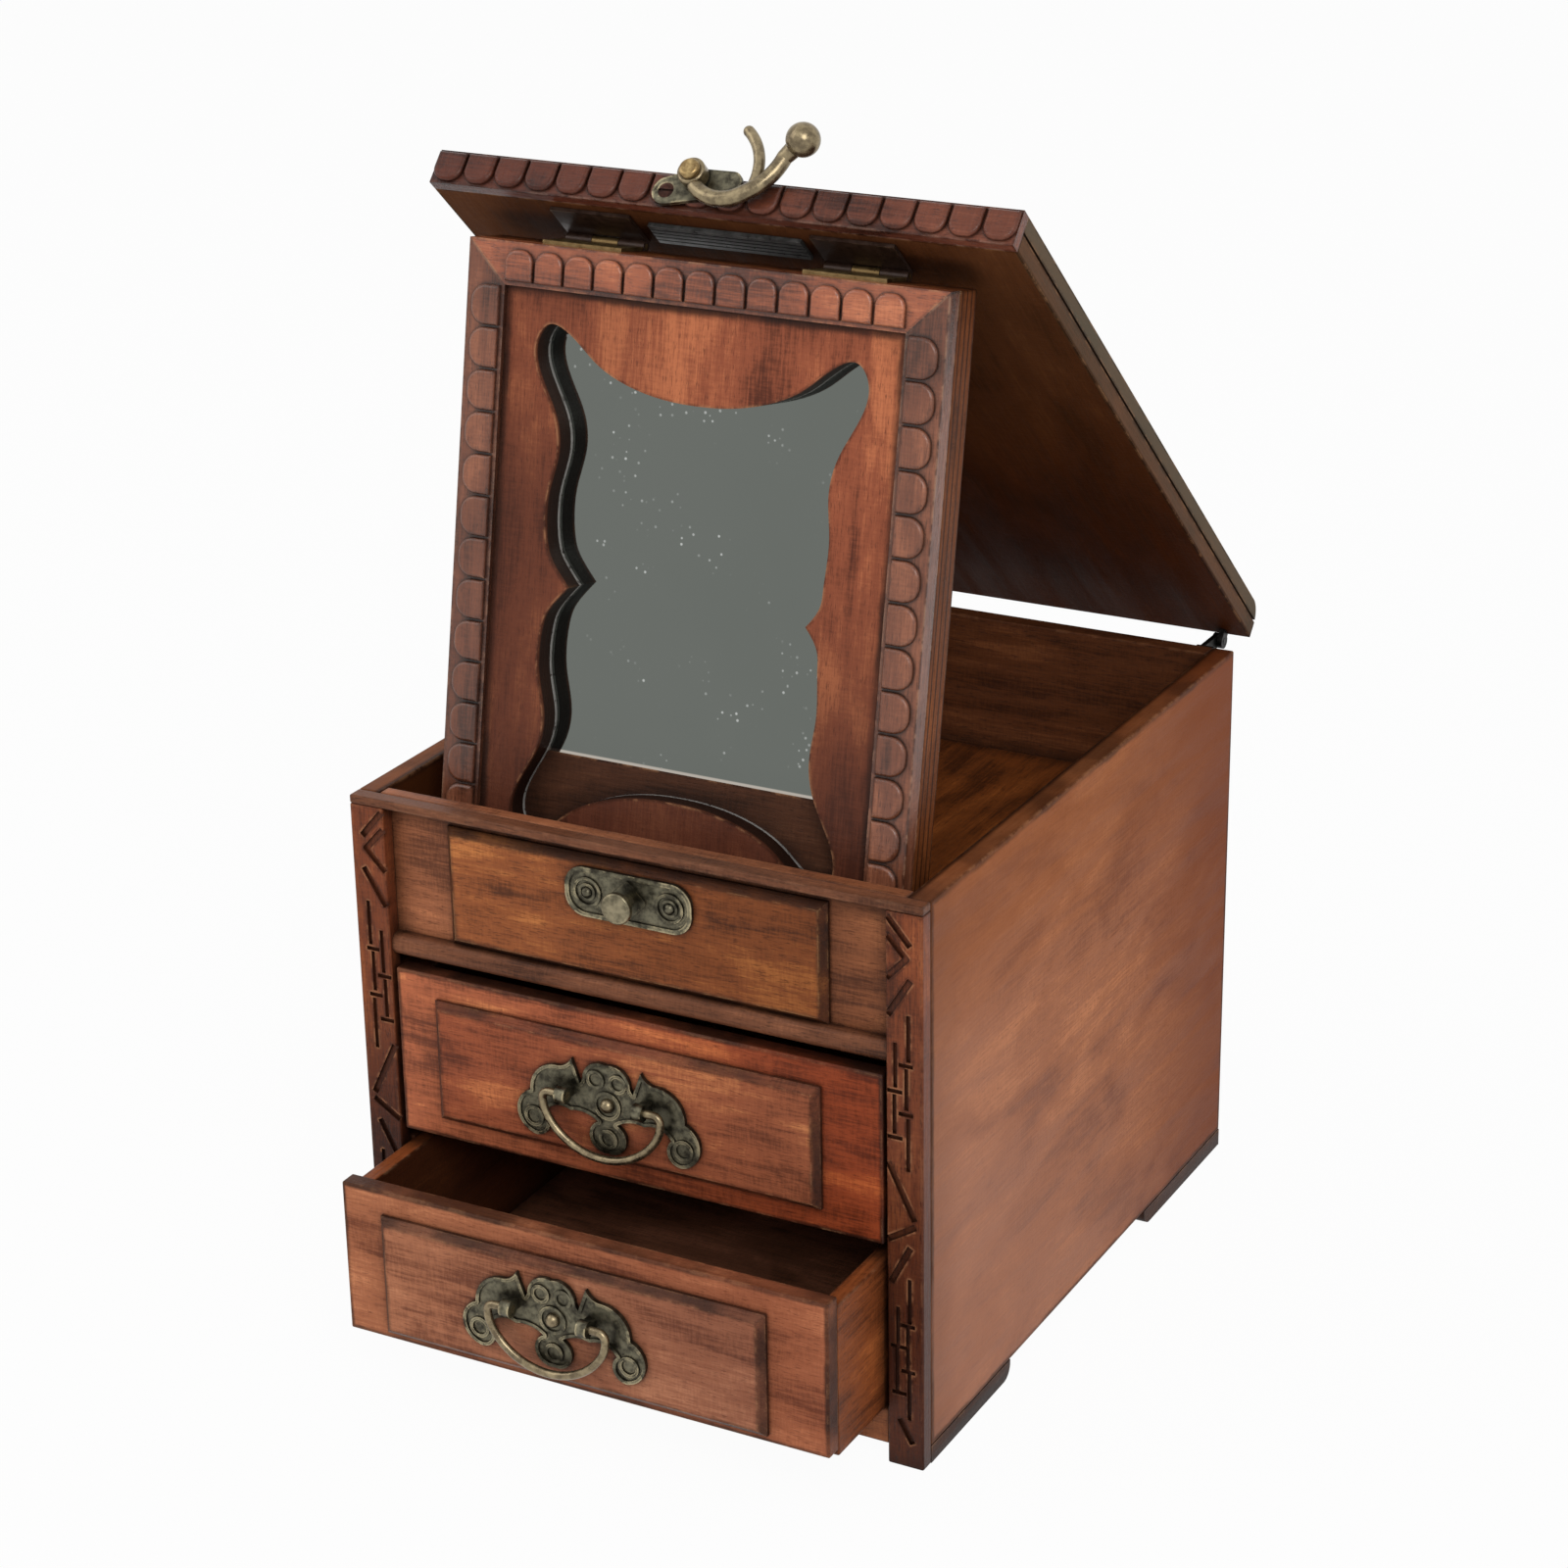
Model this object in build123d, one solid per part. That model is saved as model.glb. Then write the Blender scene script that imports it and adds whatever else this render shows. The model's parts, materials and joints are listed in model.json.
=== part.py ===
from build123d import *
import math
import os

# A small wooden vanity box. Its lid is raised, the mirror hinged under the lid's front edge stands
# behind the fixed front panel, and the lower of its two drawers is pulled part of the way out.
# Millimetres. +Z is up, +X is to the right of the front, and +Y runs from the front to the back.
# While it is built, y = 0 is the front face of the carved stiles. At the end everything is moved by
# y_shift, which puts the origin on the floor, under the middle of the whole object as it stands.

# ---------------------------------------------------------------- driving dimensions
# carcass
width = 180.0
depth = 218.0
height = 171.0
side_thickness = 7.0
back_thickness = 6.0
foot_height = 5.5
foot_width = 12.0
front_foot_length = 57.0
rear_foot_length = 62.0
foot_scroll = 4.5
stile_width = 11.0
stile_thickness = 5.0
top_strip_height = 2.6
panel_thickness = 4.5
panel_bottom = 122.7
rail_height = 6.8
rail_proud = 4.0
apron_setback = 0.8
apron_thickness = 5.0
base_top = 16.5
base_thickness = 5.0
divider_bottom = 66.3
divider_thickness = 3.0
tray_bottom = 124.5
tray_thickness = 3.0
board_edge = 0.6
slant_width = 1.9
fret_width = 1.2
carving_depth = 1.0

# drawers
drawer_gap = 1.2
drawer_setback = 0.5
drawer_front_thickness = 5.5
drawer_wall = 5.0
drawer_floor = 3.0
drawer_lip = 3.0
drawer_rear_gap = 1.0
slide_gap = 0.3
upper_front_bottom = 68.2
upper_front_top = 119.7
lower_front_bottom = 19.0
lower_front_top = 66.5
lower_open = 33.0
field_thickness = 3.0
field_bevel = 2.0
field_side_inset = 16.0
field_shift = -2.5
field_top_inset = 7.3
upper_field_low_inset = 6.8
lower_field_low_inset = 2.5
panel_field_inset = 19.0
panel_field_top_gap = 3.0

# bronze pulls, drawn about the middle of the plate
pull_x = -6.3
upper_pull_z = 93.3
lower_pull_z = 42.1
pull_length = 59.3
pull_plate = 1.3
pull_rim = 1.0
pull_relief = 0.5
pull_axis_height = 2.4
bail_standoff = 3.2
bail_radius = 1.2
bail_half_span = 19.0
bail_corner = 2.2
bail_shoulder = 11.0
bail_drop = 17.5
bail_play = 0.07
ear_inner = 10.8
ear_length = 3.2
ear_wall = 1.2
pull_pin_radius = 1.0
pull_dome_radius = 2.2

# catch on the front panel
catch_length = 40.0
catch_height = 14.8
catch_plate_thickness = 1.2
catch_drop = 13.0
catch_rim = 1.3
catch_ring_spacing = 26.0
catch_ring_radius = 4.4
catch_ring_width = 0.8
catch_boss = 8.6
catch_boss_corner = 1.2
catch_pin_radius = 0.8
stud_neck_radius = 2.0
stud_neck_length = 4.7
stud_head_radius = 4.6
stud_head_thickness = 2.2

# lid
lid_angle = 42.6
lid_overhang = 26.0
lid_thickness = 10.35
lid_side_inset = 1.0
lid_seat_gap = 0.6
lid_rear_round = 6.0
lid_groove = 0.8
lid_moulding_depth = 5.0
lid_bead_pitch = 10.1
bead_rise = 1.5
bead_gap = 0.6
bead_lip = 0.8

# hinges between the lid and the back of the carcass
rear_hinge_inset = 3.0
pivot_reach = 12.9
pivot_drop = 3.0
pivot_from_rear = 1.0
eye_radius = 2.4
eye_thickness = 1.6
eye_side_gap = 0.2
rear_pin_radius = 1.0
pin_play = 0.05
bracket_plate = 1.5
bracket_width = 5.6
bracket_height = 22.0
bracket_arm_height = 4.0
upper_screw_drop = 7.7
lower_screw_drop = 17.6
screw_radius = 0.9
screw_length = 5.0
screw_head_radius = 1.6
screw_head = 0.7

# mirror frame
mirror_side_gap = 9.5
mirror_foot_gap = 5.38
mirror_foot_rise = 8.36
mirror_thickness = 18.0
moulding_width = 12.0
moulding_thickness = 7.0
moulding_lip = 2.0
moulding_inner_lip = 1.2
top_bead_pitch = 9.45
side_bead_pitch = 11.8
mat_setback = 3.0
mat_thickness = 8.0
glass_thickness = 2.5
glass_side_inset = 3.5
glass_top_inset = 15.0
glass_rise = 47.0
backing_thickness = 2.5
window_side_margin = 10.5
window_end_margin = 10.5
window_raise = 1.0

# butt hinges between the lid and the mirror frame
mirror_hinge_from_side = 33.2
mirror_hinge_width = 25.0
mirror_hinge_inset = 21.7
mirror_hinge_drop = 2.0
leaf_thickness = 1.0
leaf_reach = 12.0
knuckle_radius = 1.6
knuckle_back = 1.5
knuckle_gap = 0.2
leaf_gap = 0.3
mirror_pin_radius = 0.8

# ribbed strip under the lid, between those hinges
strip_x = 0.5
strip_end_gap = 4.3
strip_width = 9.0
strip_setback = 11.0
strip_thickness = 1.2
strip_ribs = 5
strip_groove = 0.5

# hook on the lid's front
hook_x = -5.7
hook_z = 8.2
hook_plate_thickness = 1.2
hook_plate_tail = 10.4
hook_plate_tail_radius = 3.2
hook_plate_rim = 1.8
hook_gap = 0.2
hook_reach = 30.0
hook_arm_radius = 2.2
hook_claw_radius = 1.6
hook_eye_radius = 4.0
hook_ball_radius = 4.7
rivet_radius = 1.2
rivet_play = 0.06
rivet_head_radius = 3.0
rivet_head = 1.5
rivet_depth = 4.0
hook_screw_x = 7.9
hook_screw_drop = 4.4
hook_screw_radius = 1.0
hook_screw_head_radius = 2.3
hook_screw_head = 0.8

# ---------------------------------------------------------------- worked out
inner_x = width / 2 - side_thickness
opening_x = width / 2 - stile_width
back_face = depth - back_thickness
panel_back = stile_thickness + panel_thickness
panel_top = height - top_strip_height
tray_top = tray_bottom + tray_thickness
divider_top = divider_bottom + divider_thickness
apron_back = apron_setback + apron_thickness
field_front = stile_thickness - field_thickness
drawer_x = opening_x - drawer_gap
drawer_back_face = drawer_setback + drawer_front_thickness
ear_radius = bail_radius + bail_play + ear_wall
bail_axis_y = drawer_setback - field_thickness - pull_plate - bail_standoff
catch_z = panel_top - catch_drop
rear_hinge_x = inner_x - rear_hinge_inset
lid_half = width / 2 - lid_side_inset
lid_length = depth + lid_overhang
mirror_width = 2 * (inner_x - mirror_side_gap)
mirror_hinge_x = mirror_width / 2 - mirror_hinge_from_side
strip_length = 2 * (mirror_hinge_x - mirror_hinge_width / 2 - strip_end_gap)
glass_width = mirror_width - 2 * (moulding_width + glass_side_inset)
hook_plane = -(hook_plate_thickness + hook_gap + hook_arm_radius)
mat_back = mat_setback + mat_thickness
glass_back = mat_back + glass_thickness

nodes = {}


# ---------------------------------------------------------------- shared shapes
def block(x, y, z):
    """A straight piece, from its low and high edges along each axis."""
    sizes = [high - low for low, high in (x, y, z)]
    middle = [(high + low) / 2 for low, high in (x, y, z)]
    return Pos(*middle) * Box(*sizes)


def board(x, y, z):
    """A straight board with its edges rubbed round."""
    thinnest = min(high - low for low, high in (x, y, z))
    blank = block(x, y, z)
    return fillet(blank.edges(), min(board_edge, 0.3 * thinnest))


def rod_x(radius, low, high, y, z):
    """A round rod along X."""
    return Pos((low + high) / 2, y, z) * Rot(0, 90, 0) * Cylinder(radius, high - low)


def rod_y(radius, low, high, x, z):
    """A round rod along Y."""
    return Pos(x, (low + high) / 2, z) * Rot(90, 0, 0) * Cylinder(radius, high - low)


def dome(radius, back, x, z):
    """A round head that stands forward of y = back, cut flat there."""
    ball = Pos(x, back, z) * Sphere(radius)
    return ball & block((x - radius, x + radius), (back - radius, back), (z - radius, z + radius))


def front_sketch(outline, y_front, y_back):
    """A flat outline drawn in X and Z, given its thickness along Y."""
    face = Plane.XZ.offset(-y_back) * outline
    return extrude(face, y_back - y_front)


def mirrored(shape):
    return mirror(shape, about=Plane.YZ)


def keep(name, *solids):
    nodes[name] = solids[0] if len(solids) == 1 else Compound(list(solids))


def raised_field(x, y_front, y_back, z):
    """A raised panel field whose front edges are bevelled."""
    blank = block(x, (y_front, y_back), z)
    front_edges = blank.faces().sort_by(Axis.Y)[0].edges()
    return chamfer(front_edges, min(field_bevel, 0.8 * (y_back - y_front)))


def turn_about_x(angle, y, z):
    """Where a point in the Y-Z plane goes when it turns by angle about X."""
    c = math.cos(math.radians(angle))
    s = math.sin(math.radians(angle))
    return y * c - z * s, y * s + z * c


# ---------------------------------------------------------------- places of the lid and the mirror
# The lid is drawn lying flat, from its front lower edge: y runs back along its underside, z is up.
pivot_y = depth + pivot_reach
pivot_z = height + lid_seat_gap - pivot_drop
to_pivot_y, to_pivot_z = turn_about_x(-lid_angle, lid_length - pivot_from_rear, -pivot_drop)
lid_y = pivot_y - to_pivot_y
lid_z = pivot_z - to_pivot_z
lid_place = Pos(0, lid_y, lid_z) * Rot(-lid_angle, 0, 0)

# The mirror is drawn upright, from the front upper edge of its frame: y runs back through it. It
# reaches from the pin under the lid to its foot, which stands clear of the panel and the tray.
to_pin_y, to_pin_z = turn_about_x(-lid_angle, mirror_hinge_inset, -mirror_hinge_drop)
mirror_pin_y = lid_y + to_pin_y
mirror_pin_z = lid_z + to_pin_z
frame_pin_y = mirror_thickness + knuckle_back
frame_pin_z = leaf_thickness
foot_to_pin_y = mirror_pin_y - (panel_back + mirror_foot_gap)
foot_to_pin_z = mirror_pin_z - (tray_top + mirror_foot_rise)
frame_to_pin = math.sqrt(foot_to_pin_y**2 + foot_to_pin_z**2 - frame_pin_y**2)
mirror_length = frame_to_pin - frame_pin_z
mirror_lean = math.degrees(math.atan2(foot_to_pin_y, foot_to_pin_z) - math.atan2(frame_pin_y, frame_to_pin))
to_pin_y, to_pin_z = turn_about_x(-mirror_lean, frame_pin_y, frame_pin_z)
mirror_y = mirror_pin_y - to_pin_y
mirror_z = mirror_pin_z - to_pin_z
mirror_place = Pos(0, mirror_y, mirror_z) * Rot(-mirror_lean, 0, 0)


# ---------------------------------------------------------------- carcass
# The carving of a stile: slanting cuts, and key frets of uprights with short ties. x is measured
# from the stile's inner edge, z from the floor.
carved_slants = [
    (0.9, 166.6, 6.9, 159.6), (0.7, 161.4, 6.2, 155.4), (6.2, 155.4, 0.6, 149.5),
    (7.1, 148.9, 0.9, 138.8), (0.8, 94.0, 8.2, 78.5), (8.2, 75.9, 0.8, 71.2),
    (6.9, 69.0, 1.5, 58.2), (4.0, 14.6, 7.4, 8.4),
]
fret_uprights = [
    (6.7, 138.5, 126.0), (6.1, 122.8, 111.6), (6.6, 108.0, 93.3), (2.8, 129.9, 117.8),
    (2.5, 114.6, 103.9), (6.9, 59.1, 46.3), (6.3, 44.0, 31.6), (6.7, 29.5, 15.9),
    (3.3, 49.9, 39.2), (3.0, 36.9, 24.5),
]
fret_ties = [
    (4.4, 7.5, 124.2), (4.3, 7.5, 109.7), (0.9, 4.3, 116.1), (0.9, 4.3, 102.3),
    (4.4, 7.9, 45.0), (4.8, 7.9, 30.6), (1.6, 5.1, 38.0), (2.0, 5.2, 23.4),
]


def carved_stroke(x0, z0, x1, z1, cut_width):
    """One straight cut of the carving on a stile's front face."""
    length = math.hypot(x1 - x0, z1 - z0) + fret_width
    slope = math.degrees(math.atan2(z1 - z0, x1 - x0))
    cutter = Box(length, 2 * carving_depth, cut_width)
    return Pos(opening_x + (x0 + x1) / 2, 0, (z0 + z1) / 2) * Rot(0, -slope, 0) * cutter


def carved_stile():
    """The right-hand stile."""
    blank = board((opening_x, width / 2), (0, stile_thickness), (0, panel_top))
    strokes = [(*slant, slant_width) for slant in carved_slants]
    strokes += [(x, top, x, low, fret_width) for x, top, low in fret_uprights]
    strokes += [(left, z, right, z, fret_width) for left, right, z in fret_ties]
    return blank - [carved_stroke(*stroke) for stroke in strokes]


def foot(front, back, inner_end):
    """A flat foot under the side, rounded up at the end towards the middle of the side."""
    blank = block((width / 2 - foot_width, width / 2), (front, back), (0, foot_height))
    across = blank.edges().filter_by(Axis.X)
    low_inner = across.sort_by_distance((width / 2, inner_end, 0))[0]
    return fillet(low_inner, min(foot_scroll, 0.8 * foot_height))


def build_carcass():
    side = board((inner_x, width / 2), (stile_thickness, depth), (foot_height, height))
    keep("side_right", side)
    keep("side_left", mirrored(side))
    inside = (-inner_x, inner_x)
    between_stiles = (-opening_x, opening_x)
    keep("base_board", board(inside, (apron_back, back_face), (base_top - base_thickness, base_top)))
    divider_front = drawer_back_face + slide_gap
    keep("drawer_divider", board(inside, (divider_front, back_face), (divider_bottom, divider_top)))
    keep("tray_floor", board(inside, (panel_back, back_face), (tray_bottom, tray_top)))
    keep("apron", board(between_stiles, (apron_setback, apron_back), (foot_height, base_top)))

    stile = carved_stile()
    keep("stile_right", stile)
    keep("stile_left", mirrored(stile))
    keep("front_panel", board(inside, (stile_thickness, panel_back), (panel_bottom, height)))
    keep("top_strip", board((-width / 2, width / 2), (0, stile_thickness), (panel_top, height)))

    rail_top = panel_bottom + rail_height
    rail = block(between_stiles, (stile_thickness - rail_proud, stile_thickness), (panel_bottom, rail_top))
    rail_edges = rail.faces().sort_by(Axis.Y)[0].edges().filter_by(Axis.X)
    keep("half_round_rail", fillet(rail_edges, min(0.8 * rail_proud, 0.45 * rail_height)))

    field_x = opening_x - panel_field_inset
    field_z = (rail_top, panel_top - panel_field_top_gap)
    keep("front_panel_field", raised_field((-field_x, field_x), field_front, stile_thickness, field_z))

    front_foot = foot(stile_thickness, front_foot_length, front_foot_length)
    rear_foot = foot(depth - rear_foot_length, depth, depth - rear_foot_length)
    keep("feet", front_foot, mirrored(front_foot), rear_foot, mirrored(rear_foot))

    guide_x = (drawer_x + slide_gap, inner_x)
    guide_y = (stile_thickness, back_face)
    upper_guide = board(guide_x, guide_y, (divider_top, upper_front_top - drawer_lip))
    lower_guide = board(guide_x, guide_y, (base_top, lower_front_top - drawer_lip))
    keep("upper_drawer_guides", upper_guide, mirrored(upper_guide))
    keep("lower_drawer_guides", lower_guide, mirrored(lower_guide))


# ---------------------------------------------------------------- catch
def build_catch():
    plate_front = field_front - catch_plate_thickness
    z = catch_z
    outer = RectangleRounded(catch_length, catch_height, 0.42 * catch_height)
    inner = RectangleRounded(catch_length - 2 * catch_rim, catch_height - 2 * catch_rim,
                             0.36 * catch_height)
    plate = front_sketch(Pos(0, z) * outer, plate_front, field_front)
    plate -= front_sketch(Pos(0, z) * inner, plate_front, plate_front + pull_relief)
    pins = []
    holes = []
    for x in (-catch_ring_spacing / 2, catch_ring_spacing / 2):
        for ring_radius in (catch_ring_radius, 0.6 * catch_ring_radius):
            ring = Circle(ring_radius) - Circle(ring_radius - catch_ring_width)
            plate += front_sketch(Pos(x, z) * ring, plate_front, plate_front + pull_relief)
        seat = plate_front + pull_relief
        hole = rod_y(catch_pin_radius, seat, stile_thickness, x, z)
        pins.append(hole + dome(2 * catch_pin_radius, seat, x, z))
        holes.append(hole)
    boss = Pos(0, z) * Rot(0, 0, 45) * RectangleRounded(catch_boss, catch_boss, catch_boss_corner)
    plate += front_sketch(boss, plate_front, plate_front + pull_relief)
    neck_end = plate_front - stud_neck_length
    neck = rod_y(stud_neck_radius, neck_end, stile_thickness, 0, z)
    head = rod_y(stud_head_radius, neck_end - stud_head_thickness, neck_end, 0, z)
    head = fillet(head.edges().filter_by(GeomType.CIRCLE), 0.3 * stud_head_thickness)
    holes.append(neck)
    for hole in holes:
        plate -= hole
        nodes["front_panel_field"] -= hole
    keep("catch_plate", plate)
    keep("catch_pins", *pins)
    keep("catch_stud", neck + head)


# ---------------------------------------------------------------- drawers and pulls
def pull_outline():
    """The scrolled plate, drawn 59.3 mm long as its right half and mirrored, then given its length."""
    half = make_face([
        ThreePointArc((0, 12.6), (5.4, 11.6), (7.6, 8.0)),
        ThreePointArc((7.6, 8.0), (7.8, 6.6), (8.6, 5.3)),
        Line((8.6, 5.3), (11.2, 12.5)),
        ThreePointArc((11.2, 12.5), (13.6, 9.9), (16.4, 9.3)),
        ThreePointArc((16.4, 9.3), (22.6, 6.4), (25.0, -0.3)),
        ThreePointArc((25.0, -0.3), (29.6, -7.4), (23.5, -14.0)),
        ThreePointArc((23.5, -14.0), (19.2, -10.7), (20.6, -6.2)),
        ThreePointArc((20.6, -6.2), (17.0, -3.4), (12.0, -3.8)),
        ThreePointArc((12.0, -3.8), (7.0, -3.6), (3.0, -5.4)),
        ThreePointArc((3.0, -5.4), (5.8, -11.2), (0, -14.8)),
        Line((0, -14.8), (0, 12.6)),
    ])
    return scale(half + mirror(half, about=Plane.YZ), by=pull_length / 59.3)


def bail_centre_line():
    """The bail's wire hanging below its axis: inward ends, round corners and a basket arch."""
    arch = bail_drop - bail_shoulder
    reach = bail_half_span - bail_shoulder
    rise = (reach**2 + bail_corner**2 - arch**2) / (2 * (arch - bail_corner))
    angle = math.atan2(reach, rise + bail_corner)
    join_x = reach + bail_shoulder * math.sin(angle)
    join_z = -bail_corner - bail_shoulder * math.cos(angle)
    side_angle = (math.pi / 2 + angle) / 2
    side_x = reach + bail_shoulder * math.sin(side_angle)
    side_z = -bail_corner - bail_shoulder * math.cos(side_angle)
    corner_x = bail_half_span - bail_corner
    bend = bail_corner * (1 - math.sqrt(0.5))
    bend_x = bail_half_span - bend
    return [
        Line((-ear_inner, 0), (-corner_x, 0)),
        ThreePointArc((-corner_x, 0), (-bend_x, -bend), (-bail_half_span, -bail_corner)),
        ThreePointArc((-bail_half_span, -bail_corner), (-side_x, side_z), (-join_x, join_z)),
        ThreePointArc((-join_x, join_z), (0, -bail_drop), (join_x, join_z)),
        ThreePointArc((join_x, join_z), (side_x, side_z), (bail_half_span, -bail_corner)),
        ThreePointArc((bail_half_span, -bail_corner), (bend_x, -bend), (corner_x, 0)),
        Line((corner_x, 0), (ear_inner, 0)),
    ]


def build_pull(name, y, z):
    """A pull plate with its bail and centre pin. y is the plate's back, on the drawer's field."""
    x = pull_x
    front = y - pull_plate
    seat = front + pull_relief
    axis_y = front - bail_standoff
    axis_z = z + pull_axis_height
    plate = front_sketch(Pos(x, z) * pull_outline(), front, y)
    pocket = offset(pull_outline(), -pull_rim)
    plate -= front_sketch(Pos(x, z) * pocket, front, seat)
    raised = [(side * 0.408, -0.142, 0.054) for side in (-1, 1)]
    raised += [(side * 0.061, 0.125, 0.049) for side in (-1, 1)]
    raised += [(0, 0, 0.074), (0, -0.175, 0.051)]
    for across, up, ring_radius in raised:
        ring = Circle(ring_radius * pull_length) - Circle(ring_radius * pull_length - pull_rim)
        centre = Pos(x + across * pull_length, z + up * pull_length)
        plate += front_sketch(centre * ring, front, seat)
    ear_half = bail_radius + bail_play
    for side in (-1, 1):
        low, high = sorted((x + side * ear_inner, x + side * (ear_inner + ear_length)))
        ear = rod_x(ear_radius, low, high, axis_y, axis_z)
        ear += block((low, high), (axis_y, seat), (axis_z - ear_half, axis_z + ear_half))
        plate += ear
        plate -= rod_x(ear_half, low, high, axis_y, axis_z)

    shank = rod_y(pull_pin_radius, seat, y + field_thickness, x, z)
    keep(f"{name}_pull_plate", plate - shank)
    keep(f"{name}_pull_pin", shank + dome(pull_dome_radius, seat, x, z))

    path = Wire(bail_centre_line())
    section = Plane(origin=(-ear_inner, 0, 0), z_dir=(-1, 0, 0)) * Circle(bail_radius)
    bail = sweep(section, path=path)
    keep(f"{name}_bail", Pos(x, axis_y, axis_z) * Rot(90, 0, 0) * bail)
    return shank


def build_drawer(name, bottom, top, floor_z, field_low, pull_z, open_by):
    """A drawer: front, raised field, two sides, back, floor and pull, pulled out by open_by."""
    front_y = drawer_setback - open_by
    back_y = front_y + drawer_front_thickness
    rear_y = back_face - drawer_rear_gap - open_by
    front = board((-drawer_x, drawer_x), (front_y, back_y), (bottom, top))
    field_x = drawer_x - field_side_inset
    field_y = front_y - field_thickness
    field = raised_field((field_shift - field_x, field_shift + field_x), field_y, front_y,
                         (bottom + field_low, top - field_top_inset))
    wall_z = (floor_z, top - drawer_lip)
    side = board((drawer_x - drawer_wall, drawer_x), (back_y, rear_y), wall_z)
    between = (-drawer_x + drawer_wall, drawer_x - drawer_wall)
    shank = build_pull(name, field_y, pull_z)
    keep(f"{name}_drawer_front", front)
    keep(f"{name}_drawer_field", field - shank)
    keep(f"{name}_drawer_sides", side, mirrored(side))
    keep(f"{name}_drawer_back", board(between, (rear_y - drawer_wall, rear_y), wall_z))
    floor_y = (back_y, rear_y - drawer_wall)
    keep(f"{name}_drawer_floor", board(between, floor_y, (floor_z, floor_z + drawer_floor)))


# ---------------------------------------------------------------- carved mouldings
def bead_row(run, pitch, length):
    """Carved tongues side by side along X, centred. Each stands on y = 0 and runs up Z."""
    count = round(run / pitch)
    step = run / count
    tongue_width = step - bead_gap
    face = Pos(0, length / 2) * Rectangle(tongue_width, length)
    crown = face.vertices().group_by(Axis.Y)[-1]
    face = fillet(crown, 0.42 * tongue_width)
    tongue = front_sketch(face, -bead_rise, 0)
    front_edges = tongue.faces().sort_by(Axis.Y)[0].edges()
    tongue = fillet(front_edges, 0.7 * bead_rise)
    first = -(count - 1) / 2 * step
    return [Pos(first + step * index, 0, 0) * tongue for index in range(count)]


def mirror_moulding(length, pitch):
    """A mitred strip of the mirror's frame. z = 0 is its outer edge, y = 0 the crest of its beads."""
    half = length / 2
    inner = half - moulding_width
    corners = [(-half, 0), (half, 0), (inner, -moulding_width), (-inner, -moulding_width)]
    strip = front_sketch(make_face(Polyline(corners, close=True)), bead_rise, moulding_thickness)
    lowest = -moulding_width + moulding_inner_lip
    bead_length = moulding_width - moulding_lip - moulding_inner_lip
    beads = bead_row(2 * inner, pitch, bead_length)
    return strip + [Pos(0, bead_rise, lowest) * bead for bead in beads]


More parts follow.
